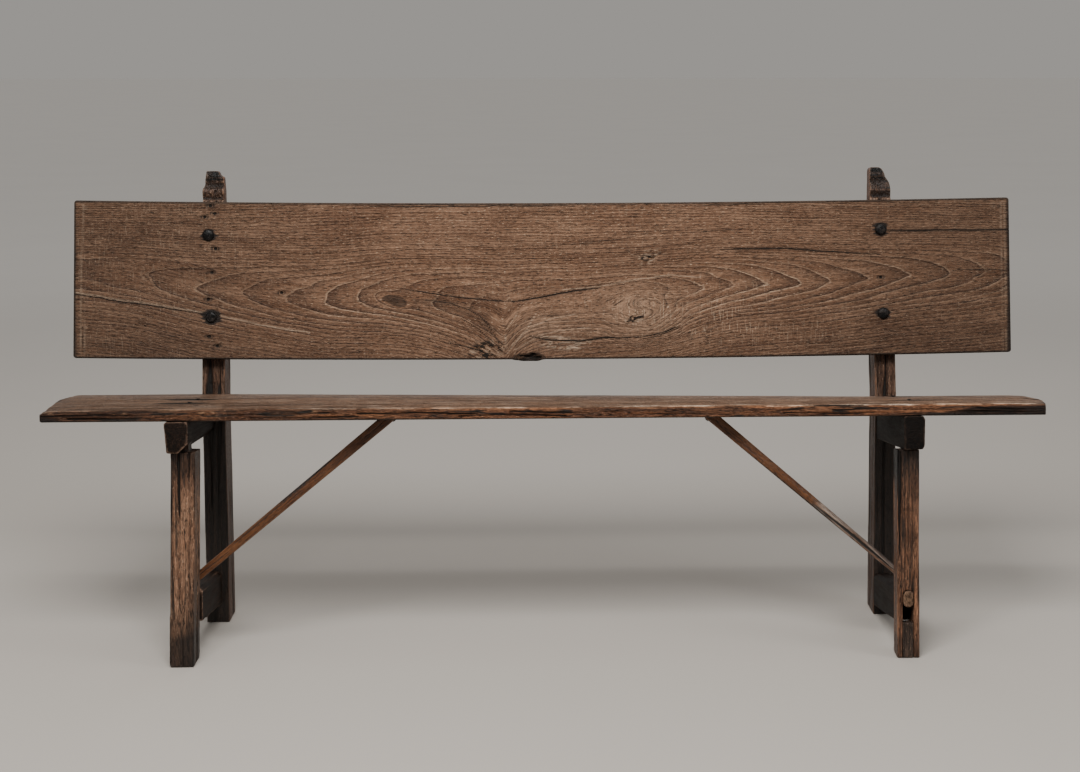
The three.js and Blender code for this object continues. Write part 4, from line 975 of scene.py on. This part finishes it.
# painted shade: the bearers and stretchers lie under the seat, so their colours are a far darker copy of the
# frame's; their bright worn arrises are a painted highlight too
shadedRailLook = like(
    frameLook, seed=57.0, deep=(0.006, 0.0028, 0.0014), mid=(0.013, 0.006, 0.0035),
    light=(0.034, 0.017, 0.01), line=(0.004, 0.002, 0.0012), worn=(0.3, 0.185, 0.13), rubbed=0.7,
    flecks=0.1, glow=0.0, gloss=0.14, dust=(0.3, 0.18, 0.11), rough=0.62, relief=0.0014)
braceLook = like(
    frameLook, seed=71.0, deep=(0.05, 0.014, 0.003), mid=(0.09, 0.028, 0.006), light=(0.135, 0.05, 0.014),
    line=(0.03, 0.009, 0.003), worn=(0.17, 0.08, 0.035), dust=(0.33, 0.265, 0.22), lines=0.5, flecks=0.12,
    glow=0.0, fibre=1.4, streak=0.6, rubbed=0.35, relief=0.0008)
stripLook = like(
    frameLook, seed=83.0, deep=(0.022, 0.014, 0.01), mid=(0.045, 0.029, 0.021), light=(0.09, 0.06, 0.043),
    glow=0.0)

# way is the axis that the grain follows, fine is the mesh's step and pith is where the rings' middle lies
post = {"look": postLook, "slot": "frame_wood", "way": 2, "fine": 2.2, "splits": 1.0}
leg = {"slot": "frame_wood", "way": 2, "fine": 1.4, "splits": 1.0}
rail = {"look": shadedRailLook, "slot": "rail_wood", "way": 1, "fine": 1.8, "splits": 0.2}
brace = {"look": braceLook, "slot": "brace_wood", "way": 0, "fine": 1.5, "splits": 1.0, "wear": 0.6}
timbers = {
    "rear_post_left": like(post, pith=(-655, 380), wear=0.9, seed=101),
    "rear_post_right": like(post, pith=(640, 390), wear=1.0, seed=111),
    "front_leg_left": like(leg, pith=(-655, 62), wear=2.0, seed=121,
                           look=like(frameLook, seed=47.0, light=(0.25, 0.142, 0.087))),
    "front_leg_right": like(leg, pith=(690, 60), wear=2.9, seed=131, look=like(frameLook, seed=49.0)),
    "seat_bearer_left": like(rail, pith=(-640, -60), wear=0.9, seed=141),
    "seat_bearer_right": like(rail, pith=(668, -70), wear=1.0, seed=151),
    "side_stretcher_left": like(rail, pith=(-640, -420), wear=1.2, seed=161, fine=2.0),
    "side_stretcher_right": like(rail, pith=(650, -440), wear=1.2, seed=171, fine=1.6),
    "leg_repair_strip_right": like(leg, name="legStripRightWood", look=stripLook, slot="strip_wood",
                                   pith=(670, 60), wear=0.5, seed=181, fine=1.2),
    "brace_left": like(brace, slope=39.2, pith=(120, -40), seed=191),
    "brace_right": like(brace, slope=-39.7, pith=(100, -40), seed=201),
}


def camelName(node):
    first, *others = node.split("_")
    return first + "".join(word.capitalize() for word in others)


def grainAxes(points, timber):  # along the timber first, then across it
    if timber["way"] == 2:
        return points[:, [2, 0, 1]]
    if timber["way"] == 1:
        return points[:, [1, 0, 2]]
    a = math.radians(timber["slope"])
    along = points[:, 0] * math.cos(a) + points[:, 2] * math.sin(a)
    across = points[:, 2] * math.cos(a) - points[:, 0] * math.sin(a)
    return np.stack([along, points[:, 1], across], 1)


grooves = {"left": (401, 413), "right": (385, 396)}  # between the posts' carved heads and their tips
# painted shade: the seat bearers lie under the seat and are darkened for it; the legs and the strip get their
# own tone
evenShadeAndTone = {
    "front_leg_left": {"tint": 0.12}, "front_leg_right": {"shade": 0.16, "tint": 0.6},
    "seat_bearer_left": {"shade": 0.3}, "seat_bearer_right": {"shade": 0.75},
    "leg_repair_strip_right": {"shade": 0.15, "tint": 0.4},
}
# painted shade at the legs' tops, under the seat; the left leg is darker towards its foot, and the feet are
# stained with grime
fadingShadeAndGrime = {  # layer, how much, the heights where it is none and full, and how ragged it is
    "front_leg_left": [("shade", 0.72, -185, -95, 26), ("shade", 0.5, -320, -390, 30),
                       ("stain", 0.75, -378, -410, 20), ("tint", 0.4, -185, -95, 0)],
    "front_leg_right": [("shade", 0.7, -200, -85, 22), ("stain", 0.6, -412, -432, 12)],
}


def postShadeAndTone(layers, points, normals, cloudy, side):
    z, (low, high) = points[:, 2], grooves[side]
    forward = ramp(0.3, 0.8, -normals[:, 1])
    inner = ramp(0.3, 0.8, normals[:, 0] * (1 if side == "left" else -1))
    carved = ramp(380, 386, z) * forward
    groove = ramp(low - 2, low + 1, z + 2 * cloudy) * ramp(high + 2, high - 1, z + 2 * cloudy)
    rough = ramp(-0.1, 0.35, uneven(points, (26, 30, 3.2), 302))
    # painted shade below the seat, strongest on the front faces; rough striations across the carved head
    layers["shade"] += ramp(-12, -28, z) * (0.25 + 0.5 * forward) + 0.45 * carved * rough
    # painted shade on the front faces; the head above the groove is darker still
    layers["shade"] += 0.1 * forward + 0.5 * forward * ramp(high, high + 3, z)
    # painted light: the inner sides are tinted warmer, for the warm light that they catch
    layers["tint"] += 0.7 * inner
    # painted shade in the groove across the head
    layers["stain"] += 0.75 * groove * forward
    # painted shadow on the left head's front, just under its bulge
    if side == "left":
        layers["stain"] += 0.7 * forward * carved * ramp(390, 384, z)


def shadeAndGrimeOn(node, points, normals):  # where painted shade and light, grime, pale dust and the timber's own tone lie on it
    y, z = points[:, 1], points[:, 2]
    cloudy = uneven(points, (40, 40, 60), 301)
    layers = blank(points, "shade", "stain", "pale", "tint")
    for name, much in evenShadeAndTone.get(node, {}).items():
        layers[name] += much
    for name, much, none, full, ragged in fadingShadeAndGrime.get(node, ()):
        layers[name] += much * ramp(none, full, z + ragged * cloudy)
    if node.startswith("rear_post"):
        postShadeAndTone(layers, points, normals, cloudy, node.split("_")[-1])
    if node == "front_leg_left":
        layers["shade"] -= 0.33 * np.exp(-((z + 240) / 80) ** 2)
    if node == "front_leg_right":
        layers["shade"] += 0.3 * ramp(0.0, 0.5, uneven(points, (12, 30, 60), 303))
    if node == "side_stretcher_right":
        layers["shade"] += 0.55 * ramp(14, 18, y)
        layers["pale"] += ramp(15, 12, y) * np.clip(0.4 + 0.5 * uneven(points, (6, 6, 6), 305), 0, 1)
    if node == "brace_right":
        g = grainAxes(points, timbers[node])
        hewn = ramp(478, 515, g[:, 0] + 25 * cloudy)
        layers["pale"] += hewn * np.clip(0.6 + 1.3 * uneven(g, (60, 5, 5), 304), 0.1, 0.9)
    for name in ("stain", "pale", "tint"):
        layers[name] = np.clip(layers[name], 0, 1)
    return layers


def dressTimber(node, timber):
    name = timber.get("name", camelName(node) + "Wood")
    mesh = remeshed(node, timber["fine"])
    points = relaxed(mesh, meshValues(mesh, "co"), 1)
    setVertices(mesh, points)
    sharp = edgeSharpness(mesh, 8)
    normals = meshValues(mesh, "normal")
    g = grainAxes(points, timber)
    seed, splits = timber["seed"], timber["splits"]
    furrow = uneven(g, (120, 4.5, 4.5), seed, 3)
    lump = uneven(g, (70, 22, 22), seed + 3, 2)
    split = splits * ramp(0.32, 0.5, uneven(g, (210, 6, 6), seed + 6, 2)) * ramp(385, 375, points[:, 2])
    hairline = splits * ramp(0.3, 0.5, uneven(g, (110, 2.6, 2.6), seed + 7, 2))
    knock = ramp(0.3, 0.75, uneven(g, (24, 18, 18), seed + 9, 2)) * ramp(0.25, 1.0, sharp)
    inward = 0.3 * furrow + 0.2 * lump + 0.9 * split + 0.12 * np.clip(sharp, 0, 3) + 1.8 * knock
    points -= normals * np.clip(timber["wear"] * inward, -0.05, 4)[:, None]
    setVertices(mesh, points)
    rings = away(g[:, 1], g[:, 2], timber["pith"]) / 4.0
    rings += 0.9 * uneven(g, (260, 40, 40), seed + 12) + 0.3 * uneven(g, (60, 10, 10), seed + 14)
    edge = edgeSharpness(mesh, 8)
    shadeAndGrime = shadeAndGrimeOn(node, points, normals)
    world = moved(points, benchToWorld)
    world[:, 2] = np.maximum(world[:, 2], 0)  # the feet end at the floor
    setVertices(mesh, world)
    dressPiece(
        name, mesh, timber["slot"], node, oldWood(name, timber["look"]),
        grain=g / perMetre, ring=rings, steep=steepness(mesh, rings), edge=edge,
        mark=np.maximum(split * 0.85, hairline * 0.6), **shadeAndGrime)
    print(name, len(points), "points")


dressBackPlank()
dressSeat()
for nodeName, timber in timbers.items():
    dressTimber(nodeName, timber)

# Nails and pegs

ironLook = {
    "seed": 3.0, "dark": (0.008, 0.008, 0.0085), "rust": (0.022, 0.013, 0.009),
    "rubbed": (0.045, 0.043, 0.042), "relief": 0.0006,
}
ironFinish = oldIron("forgedIron", ironLook)
peg = {
    "look": like(frameLook, seed=91.0, fineness=1.2), "slot": "peg_wood", "way": 0, "slope": 0,
    "pith": (0, 0), "fine": 0.8, "splits": 1.0, "wear": 0.35,
}
nailHeads = {  # the mesh's step, how far the hammer has flattened it, seed
    "back_nail_left_upper": (0.7, 1.0, 501), "back_nail_left_lower": (0.7, 1.8, 511),
    "back_nail_right_upper": (0.7, 0.9, 521), "back_nail_right_lower": (0.7, 0.8, 531),
    "seat_nail_left_front": (0.5, 0.3, 541), "seat_nail_left_rear": (0.5, 0.3, 551),
    "seat_nail_right_front": (0.5, 0.3, 561), "seat_nail_right_rear": (0.5, 0.3, 571),
}


def dressNail(node, fineness, beaten, seed):  # a hand-made head, beaten into facets
    mesh = remeshed(node, fineness)
    points = relaxed(mesh, meshValues(mesh, "co"), 1)
    setVertices(mesh, points)
    facet = uneven(points, (7, 7, 7), seed, 1)
    pit = uneven(points, (2.5, 2.5, 2.5), seed + 3, 2)
    inward = beaten * (0.3 + 0.7 * np.clip(facet + 0.3, 0, 1)) + 0.25 * pit + 0.1
    points -= meshValues(mesh, "normal") * inward.clip(0, 3)[:, None]
    setVertices(mesh, moved(points, benchToWorld))
    dressPiece(camelName(node), mesh, "nail_iron", node, ironFinish)


for nodeName, nail in nailHeads.items():
    dressNail(nodeName, *nail)
pegSeed = 677
for nodeName, node in nodes.items():
    if nodeName.startswith("brace_") and "nail" in nodeName:
        node.data.materials.clear()
        node.data.materials.append(ironFinish)
    if nodeName.startswith("peg_"):
        dressTimber(nodeName, like(peg, name=camelName(nodeName), seed=pegSeed))
        pegSeed += 7
print("nails and pegs made")
